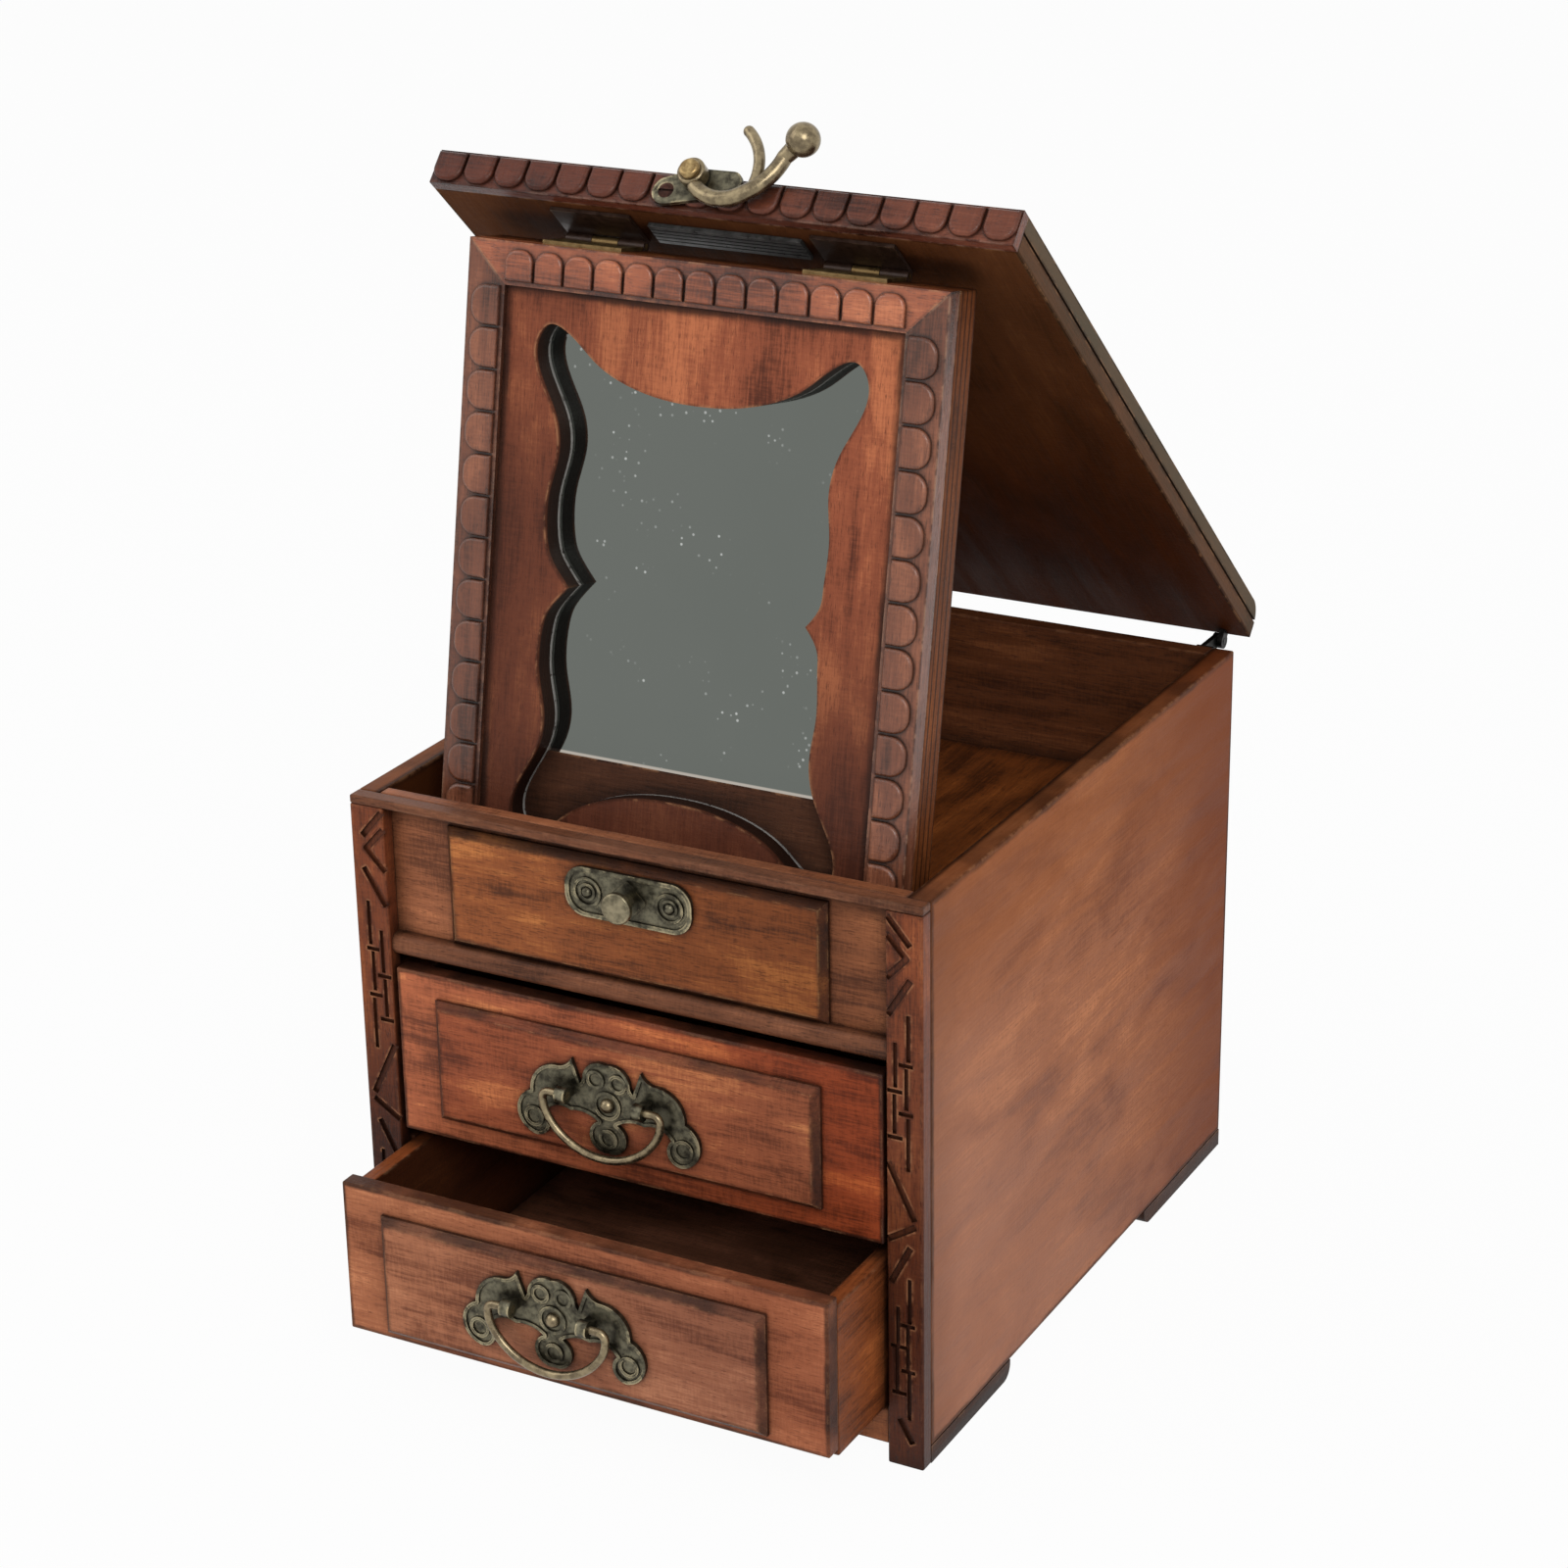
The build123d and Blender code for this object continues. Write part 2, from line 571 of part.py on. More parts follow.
# ---------------------------------------------------------------- lid
def build_lid():
    blank = block((-lid_half, lid_half), (lid_moulding_depth, lid_length), (0, lid_thickness))
    rear_top = blank.edges().filter_by(Axis.X).sort_by_distance((0, lid_length, lid_thickness))[0]
    blank = fillet(rear_top, min(lid_rear_round, 0.7 * lid_thickness))
    groove_z = (0.5 * lid_thickness, 0.5 * lid_thickness + lid_groove)
    for side in (-1, 1):
        edge = sorted((side * lid_half, side * (lid_half - lid_groove)))
        blank -= block(edge, (lid_moulding_depth, lid_length), groove_z)
    keep("lid_board", lid_place * blank)

    strip = block((-lid_half, lid_half), (bead_rise, lid_moulding_depth), (0, lid_thickness))
    bead_top = lid_thickness - bead_lip
    beads = bead_row(2 * lid_half, lid_bead_pitch, bead_top - bead_lip)
    strip += [Pos(0, bead_rise, bead_top) * Rot(0, 180, 0) * bead for bead in beads]

    # hook plate, rivet and screw on the front of the moulding. The screw's head is let into the plate.
    screw_x = hook_x - hook_screw_x
    screw_z = hook_z - hook_screw_drop
    lobes = [(screw_x, screw_z, hook_screw_head_radius + hook_plate_rim),
             (hook_x, hook_z - hook_plate_rim, hook_eye_radius + 0.5 * hook_plate_rim),
             (hook_x + hook_plate_tail, hook_z, hook_plate_tail_radius)]
    edges = [edge for x, z, radius in lobes for edge in (Pos(x, z) * Circle(radius)).edges()]
    plate = front_sketch(make_hull(edges), -hook_plate_thickness, 0)
    rivet_front = hook_plane - hook_arm_radius - hook_gap
    rivet_hole = rod_y(rivet_radius, -hook_plate_thickness, rivet_depth, hook_x, hook_z)
    rivet = rod_y(rivet_radius, rivet_front, rivet_depth, hook_x, hook_z)
    rivet_cap = rod_y(rivet_head_radius, rivet_front - rivet_head, rivet_front, hook_x, hook_z)
    cap_edge = rivet_cap.faces().sort_by(Axis.Y)[0].edges()
    rivet += fillet(cap_edge, 0.8 * rivet_head)
    head_front = -hook_plate_thickness
    head_back = head_front + hook_screw_head
    screw_hole = rod_y(hook_screw_radius, head_back, rivet_depth, screw_x, screw_z)
    screw_hole += rod_y(hook_screw_head_radius, head_front, head_back, screw_x, screw_z)
    screw = screw_hole
    slot_x = (screw_x - hook_screw_head_radius, screw_x + hook_screw_head_radius)
    slot_half = 0.15 * hook_screw_head_radius
    screw -= block(slot_x, (head_front, head_front + 0.5 * hook_screw_head),
                   (screw_z - slot_half, screw_z + slot_half))
    keep("lid_front_moulding", lid_place * (strip - rivet_hole - screw_hole))
    keep("hook_plate", lid_place * (plate - rivet_hole - screw_hole))
    keep("hook_rivet", lid_place * rivet)
    keep("hook_screw", lid_place * screw)

    # ribbed strip on the underside
    x = (strip_x - strip_length / 2, strip_x + strip_length / 2)
    ribbed = block(x, (strip_setback, strip_setback + strip_width), (-strip_thickness, 0))
    spacing = strip_width / strip_ribs
    for index in range(1, strip_ribs):
        groove_y = strip_setback + index * spacing
        ribbed -= block(x, (groove_y - strip_groove / 2, groove_y + strip_groove / 2),
                        (-strip_thickness, -0.5 * strip_thickness))
    keep("lid_ribbed_strip", lid_place * ribbed)


def bent_rod(radius, start, middle, end):
    """A round rod along one arc, with round ends."""
    arc = ThreePointArc(start, middle, end)
    section = Plane(origin=arc @ 0, z_dir=arc % 0) * Circle(radius)
    rod = sweep(section, path=arc)
    return rod + Pos(*start) * Sphere(radius) + Pos(*end) * Sphere(radius)


def build_hook():
    """The swinging hook, drawn about its rivet in the plane of the lid's front."""
    def at(across, up):
        return across * hook_reach, up * hook_reach

    hook = bent_rod(hook_arm_radius, at(0.067, -0.125), at(0.317, -0.22), at(0.573, -0.127))
    hook += bent_rod(hook_arm_radius, at(0.573, -0.127), at(0.747, 0.04), at(0.833, 0.253))
    hook += bent_rod(hook_claw_radius, at(0.625, -0.03), at(0.575, 0.26), at(0.40, 0.475))
    hook = Rot(90, 0, 0) * hook
    neck_start = Vector(0.833 * hook_reach, 0, 0.253 * hook_reach)
    neck_end = Vector(hook_reach, hook_arm_radius - hook_ball_radius, 0.40 * hook_reach)
    along = neck_end - neck_start
    neck_plane = Plane(origin=neck_start, z_dir=along)
    hook += neck_plane * Cone(hook_arm_radius, 0.6 * hook_ball_radius, along.length,
                              align=(Align.CENTER, Align.CENTER, Align.MIN))
    hook += Pos(neck_end) * Sphere(hook_ball_radius)
    eye = rod_y(hook_eye_radius, -hook_arm_radius, hook_arm_radius, 0, 0)
    hook += fillet(eye.edges().filter_by(GeomType.CIRCLE), 0.3 * hook_arm_radius)
    hook -= rod_y(rivet_radius + rivet_play, -2 * hook_arm_radius, 2 * hook_arm_radius, 0, 0)
    keep("hook", lid_place * Pos(hook_x, hook_plane, hook_z) * hook)


# ---------------------------------------------------------------- rear hinges
def build_rear_hinges():
    """Cranked brackets on the back, each with an eye beside a lug under the lid, on one pin."""
    back_panel = board((-inner_x, inner_x), (back_face, depth), (foot_height, height))
    brackets = []
    pins = []
    screws = []
    lugs = []
    lug_y = lid_length - pivot_from_rear
    arm_top = pivot_z + bracket_arm_height / 2
    arm_low = pivot_z - bracket_arm_height / 2
    plate_y = (depth, depth + bracket_plate)
    for side in (-1, 1):
        x = side * rear_hinge_x
        plate_x = (x - bracket_width / 2, x + bracket_width / 2)
        plate = block(plate_x, plate_y, (arm_top - bracket_height, arm_top))
        eye_x = sorted((x - side * eye_side_gap / 2, x - side * (eye_side_gap / 2 + eye_thickness)))
        lug_x = sorted((x + side * eye_side_gap / 2, x + side * (eye_side_gap / 2 + eye_thickness)))
        arm = block(eye_x, (depth, pivot_y), (arm_low, arm_top))
        pin = rod_x(rear_pin_radius, x - eye_side_gap - eye_thickness, x + eye_side_gap + eye_thickness,
                    pivot_y, pivot_z)
        bracket = plate + arm + rod_x(eye_radius, *eye_x, pivot_y, pivot_z) - pin
        for drop in (upper_screw_drop, lower_screw_drop):
            z = arm_top - drop
            shank = rod_y(screw_radius, depth - screw_length, depth + bracket_plate, x, z)
            head = rod_y(screw_head_radius, depth + bracket_plate, depth + bracket_plate + screw_head, x, z)
            bracket -= shank
            back_panel -= shank
            screws.append(shank + head)
        lug = rod_x(eye_radius, *lug_x, lug_y, -pivot_drop)
        lug += block(lug_x, (lug_y - eye_radius, lug_y + pivot_from_rear), (-pivot_drop, 0))
        lug -= rod_x(rear_pin_radius + pin_play, *lug_x, lug_y, -pivot_drop)
        brackets.append(bracket)
        pins.append(pin)
        lugs.append(lid_place * lug)
    keep("back_panel", back_panel)
    keep("rear_hinge_brackets", *brackets)
    keep("rear_hinge_pins", *pins)
    keep("rear_hinge_screws", *screws)
    keep("lid_hinge_lugs", *lugs)


# ---------------------------------------------------------------- mirror
def window_outline(half_width, half_height):
    """The scalloped window, in fractions of its half sizes. The right waist is cut less deep."""
    crown = [(0, 0.764), (0.353, 0.792), (0.627, 0.875), (0.804, 0.974), (0.931, 1.0), (1.0, 0.938)]
    left_side = [(0.971, 0.799), (0.853, 0.632), (0.833, 0.521), (0.882, 0.354), (0.873, 0.160), (0.725, 0)]
    right_side = [(0.971, 0.799), (0.853, 0.632), (0.820, 0.500), (0.843, 0.334), (0.829, 0.150), (0.740, 0)]
    curves = []
    for across, waist in ((1, right_side), (-1, left_side)):
        for up in (1, -1):
            points = [(across * x * half_width, up * y * half_height) for x, y in crown + waist]
            ends = ((across, 0), (-across, -1.1 * up))
            curves.append(Spline(*points, tangents=ends))
    return make_face(curves)


def build_mirror():
    half = mirror_width / 2
    inner = half - moulding_width
    bottom = -mirror_length
    top_strip = mirror_moulding(mirror_width, top_bead_pitch)
    side_strip = mirror_moulding(mirror_length, side_bead_pitch)
    right_strip = Pos(half, 0, bottom / 2) * Rot(0, 90, 0) * side_strip
    left_strip = Pos(-half, 0, bottom / 2) * Rot(0, -90, 0) * side_strip
    bottom_strip = Pos(0, 0, bottom) * Rot(0, 180, 0) * top_strip
    keep("mirror_moulding_top", mirror_place * top_strip)
    keep("mirror_moulding_bottom", mirror_place * bottom_strip)
    keep("mirror_moulding_sides", mirror_place * right_strip, mirror_place * left_strip)

    core_y = (moulding_thickness, mirror_thickness)
    stile = board((inner, half), core_y, (bottom, 0))
    rail = board((-inner, inner), core_y, (-moulding_width, 0))
    low_rail = board((-inner, inner), core_y, (bottom, bottom + moulding_width))
    keep("mirror_frame_stiles", mirror_place * stile, mirror_place * mirrored(stile))
    keep("mirror_frame_rails", mirror_place * rail, mirror_place * low_rail)

    inside = (-inner, inner)
    well_z = (bottom + moulding_width, -moulding_width)
    mat = block(inside, (mat_setback, mat_back), well_z)
    window = window_outline(inner - window_side_margin, (well_z[1] - well_z[0]) / 2 - window_end_margin)
    mat -= front_sketch(Pos(0, bottom / 2 + window_raise) * window, mat_setback, mat_back)
    keep("mirror_mat", mirror_place * mat)

    glass_x = (-glass_width / 2, glass_width / 2)
    glass_z = (bottom + glass_rise, -glass_top_inset)
    keep("mirror_glass", mirror_place * block(glass_x, (mat_back, glass_back), glass_z))
    keep("glass_rest", mirror_place * block(inside, (mat_back, glass_back), (well_z[0], glass_z[0])))
    backing = board(inside, (glass_back, glass_back + backing_thickness), well_z)
    keep("mirror_backing", mirror_place * backing)


def build_mirror_hinges():
    """Butt hinges: one leaf under the lid, the other on top of the mirror's frame, on one pin."""
    third = (mirror_hinge_width - 2 * knuckle_gap) / 3
    reach = knuckle_radius + leaf_gap
    web = 0.5 * knuckle_radius
    lid_leaves = []
    frame_leaves = []
    pins = []
    for x in (-mirror_hinge_x, mirror_hinge_x):
        low = x - mirror_hinge_width / 2
        high = x + mirror_hinge_width / 2
        middle = (low + third + knuckle_gap, high - third - knuckle_gap)

        y = mirror_hinge_inset
        z = -mirror_hinge_drop
        leaf = block((low, high), (y - knuckle_radius - leaf_reach, y - reach), (-leaf_thickness, 0))
        for span in ((low, low + third), (high - third, high)):
            leaf += block(span, (y - reach, y + web), (-leaf_thickness, 0))
            leaf += block(span, (y - web, y + web), (z, 0))
            leaf += rod_x(knuckle_radius, *span, y, z)
        pin = rod_x(mirror_pin_radius, low, high, y, z)
        lid_leaves.append(lid_place * (leaf - pin))
        pins.append(lid_place * pin)

        y = frame_pin_y
        z = frame_pin_z
        leaf = block((low, high), (y - knuckle_radius - leaf_reach, y - reach), (0, leaf_thickness))
        leaf += block(middle, (y - reach, y), (0, leaf_thickness))
        leaf += rod_x(knuckle_radius, *middle, y, z)
        leaf -= rod_x(mirror_pin_radius + pin_play, *middle, y, z)
        frame_leaves.append(mirror_place * leaf)
    keep("mirror_hinge_lid_leaves", *lid_leaves)
    keep("mirror_hinge_pins", *pins)
    keep("mirror_hinge_frame_leaves", *frame_leaves)


# ---------------------------------------------------------------- the whole object
os.makedirs("parts", exist_ok=True)
build_carcass()
build_catch()
build_drawer("upper", upper_front_bottom, upper_front_top, divider_top + slide_gap,
             upper_field_low_inset, upper_pull_z, 0)
build_drawer("lower", lower_front_bottom, lower_front_top, base_top + slide_gap,
             lower_field_low_inset, lower_pull_z, lower_open)
build_lid()
build_hook()
build_rear_hinges()
build_mirror()
build_mirror_hinges()

# The ears of the lower drawer's pull are foremost, and the lid's rounded rear edge is rearmost.
foremost = bail_axis_y - ear_radius - lower_open
round_y, round_z = turn_about_x(-lid_angle, lid_length - lid_rear_round, lid_thickness - lid_rear_round)
rearmost = lid_y + round_y + lid_rear_round
y_shift = -(foremost + rearmost) / 2

for name, shape in nodes.items():
    export_step(Pos(0, y_shift, 0) * shape, f"parts/{name}.step")
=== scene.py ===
import json
import math

import bpy
from mathutils import Matrix, Vector


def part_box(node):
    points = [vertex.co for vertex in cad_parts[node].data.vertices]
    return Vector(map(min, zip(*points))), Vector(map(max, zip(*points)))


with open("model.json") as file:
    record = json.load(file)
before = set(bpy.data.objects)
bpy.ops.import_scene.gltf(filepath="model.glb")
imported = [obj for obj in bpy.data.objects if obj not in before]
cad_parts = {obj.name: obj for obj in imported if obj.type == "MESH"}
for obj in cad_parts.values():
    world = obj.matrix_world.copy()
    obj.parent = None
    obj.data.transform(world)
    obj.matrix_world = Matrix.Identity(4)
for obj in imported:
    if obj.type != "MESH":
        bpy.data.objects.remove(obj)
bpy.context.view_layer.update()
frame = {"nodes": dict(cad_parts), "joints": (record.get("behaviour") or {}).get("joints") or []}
nodes = frame["nodes"]

# ------------------------------------------------------------------ the view of the box
# The camera stands to the right of the box and looks down on it, as in the photograph. Its lens and
# place come from the box's own square corners. The box's front is where the carved stiles end.
front_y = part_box("stile_right")[0].y
looks_at = Vector((0.0007, front_y + 0.0900, 0.1574))
camera_azimuth = math.radians(28.53)
camera_height = math.radians(22.01)
camera_roll = math.radians(-0.98)
camera_distance = 1.0695
camera_lens = 84.02

camera_data = bpy.data.cameras.new("camera")
camera_data.lens = camera_lens
camera_data.sensor_width = 36.0
camera_data.clip_start = 0.05
camera = bpy.data.objects.new("camera", camera_data)
bpy.context.scene.collection.objects.link(camera)
backwards = Vector((
    math.sin(camera_azimuth) * math.cos(camera_height),
    -math.cos(camera_azimuth) * math.cos(camera_height),
    math.sin(camera_height),
))
level = (-backwards).to_track_quat("-Z", "Y").to_matrix().to_4x4()
camera.matrix_world = (
    Matrix.Translation(looks_at + backwards * camera_distance)
    @ level
    @ Matrix.Rotation(camera_roll, 4, "Z")
)
bpy.context.scene.camera = camera
bpy.context.scene.view_settings.view_transform = "Standard"


# ------------------------------------------------------------------ the studio
# A white floor in an even white room, one large soft lamp to the right of the camera and a weaker
# one to the left. The floor is white where it is seen, and keeps a trace of the box's shadow.
def add_node(tree, kind, inputs=None, **settings):
    """A shader node with its settings and the values of its inputs."""
    node = tree.nodes.new(kind)
    for name, value in settings.items():
        setattr(node, name, value)
    for name, value in (inputs or {}).items():
        node.inputs[name].default_value = value
    return node


room_light = 0.40
world = bpy.data.worlds.new("white room")
bpy.context.scene.world = world
world.use_nodes = True
tree = world.node_tree
background = tree.nodes["Background"]
background.inputs["Color"].default_value = (1, 1, 1, 1)


def white_when_seen(tree):
    """1 for the rays that show the background: straight, in a reflection or through glass."""
    seen = add_node(tree, "ShaderNodeLightPath")
    reflected = add_node(tree, "ShaderNodeMath", operation="MAXIMUM")
    tree.links.new(seen.outputs["Is Glossy Ray"], reflected.inputs[0])
    tree.links.new(seen.outputs["Is Transmission Ray"], reflected.inputs[1])
    either = add_node(tree, "ShaderNodeMath", operation="MAXIMUM")
    tree.links.new(seen.outputs["Is Camera Ray"], either.inputs[0])
    tree.links.new(reflected.outputs[0], either.inputs[1])
    return either.outputs[0]


level_of_light = add_node(tree, "ShaderNodeMapRange", {"To Min": room_light, "To Max": 1.0})
tree.links.new(white_when_seen(tree), level_of_light.inputs["Value"])
tree.links.new(level_of_light.outputs[0], background.inputs["Strength"])

floor_size = 6.0
floor_drop = 0.0002
floor_grey = (0.80, 0.80, 0.80, 1)
floor_glow = 0.96
bpy.ops.mesh.primitive_plane_add(size=floor_size, location=(0, 0, -floor_drop))
floor = bpy.context.object
floor.name = "floor"
floor_paint = bpy.data.materials.new("white floor")
floor_paint.use_nodes = True
tree = floor_paint.node_tree
tree.nodes.clear()
matt = add_node(tree, "ShaderNodeBsdfDiffuse", {"Color": floor_grey})
glow = add_node(tree, "ShaderNodeEmission", {"Color": (1, 1, 1, 1), "Strength": 1.0})
share = add_node(tree, "ShaderNodeMath", {1: floor_glow}, operation="MULTIPLY")
both = add_node(tree, "ShaderNodeMixShader")
surface = add_node(tree, "ShaderNodeOutputMaterial")
tree.links.new(white_when_seen(tree), share.inputs[0])
tree.links.new(share.outputs[0], both.inputs["Fac"])
tree.links.new(matt.outputs[0], both.inputs[1])
tree.links.new(glow.outputs[0], both.inputs[2])
tree.links.new(both.outputs[0], surface.inputs["Surface"])
floor.data.materials.append(floor_paint)

lamps_aim_at = Vector((0, 0, 0.16))
for lamp_name, lamp_at, lamp_size, lamp_watts in (
    ("right softbox", (0.95, -1.25, 1.25), 0.9, 15.0),
    ("left softbox", (-1.30, -0.90, 1.30), 1.1, 6.0),
):
    lamp_data = bpy.data.lights.new(lamp_name, "AREA")
    lamp_data.size = lamp_size
    lamp_data.energy = lamp_watts
    lamp = bpy.data.objects.new(lamp_name, lamp_data)
    bpy.context.scene.collection.objects.link(lamp)
    lamp.location = lamp_at
    lamp.rotation_euler = (lamps_aim_at - Vector(lamp_at)).to_track_quat("-Z", "Y").to_euler()


# ------------------------------------------------------------------ stained wood
# The box is made of a plain light wood, stained red-brown and varnished, then rubbed to look old. The
# stain takes unevenly, settles in the pores and is rubbed through on the edges, and its corners and
# creases are darkened by grime and by painted shade.
def new_group(name, inputs, outputs):
    """An empty shader group with its inputs, outputs and default values."""
    group = bpy.data.node_groups.new(name, "ShaderNodeTree")
    for socket, (kind, value) in inputs.items():
        made = group.interface.new_socket(socket, in_out="INPUT", socket_type=kind)
        if value is not None:
            made.default_value = value
    for socket, kind in outputs.items():
        group.interface.new_socket(socket, in_out="OUTPUT", socket_type=kind)
    return group, group.nodes.new("NodeGroupInput"), group.nodes.new("NodeGroupOutput")


def stretched_noise(tree, vector, scale, detail, rough=0.5, distortion=0.0):
    """Noise drawn out along X, the direction of the grain. scale is in patterns to the metre."""
    stretch = add_node(tree, "ShaderNodeMapping", {"Scale": scale})
    noise = add_node(tree, "ShaderNodeTexNoise", {
        "Scale": 1.0, "Detail": detail, "Roughness": rough, "Distortion": distortion})
    tree.links.new(vector, stretch.inputs["Vector"])
    tree.links.new(stretch.outputs[0], noise.inputs["Vector"])
    return noise.outputs["Fac"]


def ramp(tree, value, low, high, to_low=0.0, to_high=1.0):
    """A value spread smoothly from low..high to to_low..to_high."""
    spread = add_node(tree, "ShaderNodeMapRange", {
        "From Min": low, "From Max": high, "To Min": to_low, "To Max": to_high},
        interpolation_type="SMOOTHSTEP")
    tree.links.new(value, spread.inputs["Value"])
    return spread.outputs[0]


def combine(tree, operation, first, second):
    """One operation on two values, each a socket or a number."""
    node = add_node(tree, "ShaderNodeMath", operation=operation)
    for index, value in enumerate((first, second)):
        if isinstance(value, (int, float)):
            node.inputs[index].default_value = value
        else:
            tree.links.new(value, node.inputs[index])
    return node.outputs[0]


def times(tree, first, second):
    """The product of two values."""
    return combine(tree, "MULTIPLY", first, second)


def plus(tree, first, second):
    """The sum of two values."""
    return combine(tree, "ADD", first, second)


def axis_value(tree, vector, axis):
    """One coordinate of a vector, in metres."""
    parts = tree.nodes.new("ShaderNodeSeparateXYZ")
    tree.links.new(vector, parts.inputs[0])
    return parts.outputs[axis]


def off_middle(tree, vector, axis, middle=0.0):
    """How far a point lies from a middle plane, along one axis."""
    off = combine(tree, "SUBTRACT", axis_value(tree, vector, axis), middle)
    return combine(tree, "ABSOLUTE", off, 0.0)


def mix_colour(tree, share, first, second, blend="MIX"):
    """Two colours mixed, each a socket or a colour."""
    node = add_node(tree, "ShaderNodeMix", data_type="RGBA", blend_type=blend)
    for name, value in (("Factor", share), ("A", first), ("B", second)):
        socket = next(s for s in node.inputs if s.name == name and s.enabled)
        if isinstance(value, bpy.types.NodeSocket):
            tree.links.new(value, socket)
        else:
            socket.default_value = value if isinstance(value, (int, float)) else (*value, 1.0)
    return next(s for s in node.outputs if s.enabled)


wood_grain, given, put_out = new_group(
    "wood grain",
    {
        "Vector": ("NodeSocketVector", None),
        "Light": ("NodeSocketColor", (0.45, 0.13, 0.045, 1)),
        "Middle": ("NodeSocketColor", (0.24, 0.062, 0.025, 1)),
        "Dark": ("NodeSocketColor", (0.06, 0.018, 0.009, 1)),
        "Clouds": ("NodeSocketFloat", 0.5),
    },
    {"Color": "NodeSocketColor", "Height": "NodeSocketFloat", "Sheen": "NodeSocketFloat"},
)
grain_vector = given.outputs["Vector"]
fibres = stretched_noise(wood_grain, grain_vector, (70, 1300, 1300), 4.0, 0.7)
figure = stretched_noise(wood_grain, grain_vector, (9, 95, 95), 3.0, 0.55, 1.2)
clouds = stretched_noise(wood_grain, grain_vector, (20, 42, 42), 4.0, 0.55, 0.6)
pores = stretched_noise(wood_grain, grain_vector, (330, 3000, 3000), 2.0)
chatter = stretched_noise(wood_grain, grain_vector, (1500, 260, 260), 3.0, 0.6)
tone = times(wood_grain, ramp(wood_grain, fibres, 0.30, 0.70), 0.26)
for pattern, low, high, share in (
    (figure, 0.32, 0.68, 0.26),
    (chatter, 0.30, 0.70, 0.12),
    (clouds, 0.36, 0.64, given.outputs["Clouds"]),
):
    part = times(wood_grain, ramp(wood_grain, pattern, low, high), share)
    tone = plus(wood_grain, tone, part)
dark = given.outputs["Dark"]
stain = mix_colour(wood_grain, ramp(wood_grain, tone, 0.12, 0.58), dark, given.outputs["Middle"])
stain = mix_colour(wood_grain, ramp(wood_grain, tone, 0.55, 1.05), stain, given.outputs["Light"])
pore_mask = ramp(wood_grain, pores, 0.58, 0.68)
stain = mix_colour(wood_grain, times(wood_grain, pore_mask, 0.6), stain, dark)

dent_spread = 0.045
dent_threshold = 0.018
dent_colour = (0.02, 0.008, 0.005)
dents = add_node(wood_grain, "ShaderNodeTexVoronoi", {"Scale": 55.0, "Randomness": 1.0})
wood_grain.links.new(grain_vector, dents.inputs["Vector"])
dent_size = times(wood_grain, axis_value(wood_grain, dents.outputs["Color"], "X"), dent_spread)
dent_size = combine(wood_grain, "SUBTRACT", dent_size, dent_threshold)
dent_mask = combine(wood_grain, "LESS_THAN", dents.outputs["Distance"], dent_size)
stain = mix_colour(wood_grain, times(wood_grain, dent_mask, 0.8), stain, dent_colour)
wood_grain.links.new(stain, put_out.inputs["Color"])
wood_relief = combine(wood_grain, "SUBTRACT", fibres, times(wood_grain, pore_mask, 0.5))
wood_relief = plus(wood_grain, wood_relief, times(wood_grain, chatter, 0.6))
wood_relief = combine(wood_grain, "SUBTRACT", wood_relief, dent_mask)
wood_grain.links.new(wood_relief, put_out.inputs["Height"])
wood_grain.links.new(figure, put_out.inputs["Sheen"])

age_and_shade, given, put_out = new_group(
    "age_and_shade",
    {
        "Color": ("NodeSocketColor", (0.3, 0.1, 0.05, 1)),
        "Grime and shade": ("NodeSocketColor", (0.012, 0.005, 0.003, 1)),
        "Worn": ("NodeSocketColor", (0.50, 0.25, 0.12, 1)),
        "Grime amount": ("NodeSocketFloat", 0.9),
        "Worn amount": ("NodeSocketFloat", 0.6),
    },
    {"Color": "NodeSocketColor", "Worn": "NodeSocketFloat"},
)
# Ambient occlusion darkens corners and creases: this is painted shade, laid on together with the
# grime that settles there. The dark band along edges is grime.
corner_shade_reach = 0.008
edge_reach = 0.0016
corner = add_node(age_and_shade, "ShaderNodeAmbientOcclusion", {"Distance": corner_shade_reach}, samples=4)
where = age_and_shade.nodes.new("ShaderNodeTexCoord").outputs["Object"]
patches = stretched_noise(age_and_shade, where, (150, 150, 150), 5.0, 0.65)
grime_and_corner_shade = ramp(age_and_shade, corner.outputs["AO"], 0.42, 0.97, 1.0, 0.0)
grime_and_corner_shade = times(age_and_shade, grime_and_corner_shade, ramp(age_and_shade, patches, 0.2, 0.6, 0.6, 1.0))
rounded = add_node(age_and_shade, "ShaderNodeBevel", {"Radius": edge_reach}, samples=4)
plain = age_and_shade.nodes.new("ShaderNodeNewGeometry")
agree = add_node(age_and_shade, "ShaderNodeVectorMath", operation="DOT_PRODUCT")
age_and_shade.links.new(rounded.outputs["Normal"], agree.inputs[0])
age_and_shade.links.new(plain.outputs["Normal"], agree.inputs[1])
near_edge = ramp(age_and_shade, agree.outputs["Value"], 0.86, 0.995, 1.0, 0.0)
grime_and_corner_shade = combine(age_and_shade, "MAXIMUM", grime_and_corner_shade, times(age_and_shade, near_edge, ramp(age_and_shade, patches, 0.62, 0.42, 0.25, 0.9)))
grime_and_corner_shade = times(age_and_shade, grime_and_corner_shade, given.outputs["Grime amount"])
edge = ramp(age_and_shade, agree.outputs["Value"], 0.79, 0.96, 1.0, 0.0)
edge = times(age_and_shade, edge, ramp(age_and_shade, corner.outputs["AO"], 0.70, 0.95))
edge = times(age_and_shade, edge, ramp(age_and_shade, patches, 0.46, 0.60))
edge = times(age_and_shade, edge, given.outputs["Worn amount"])
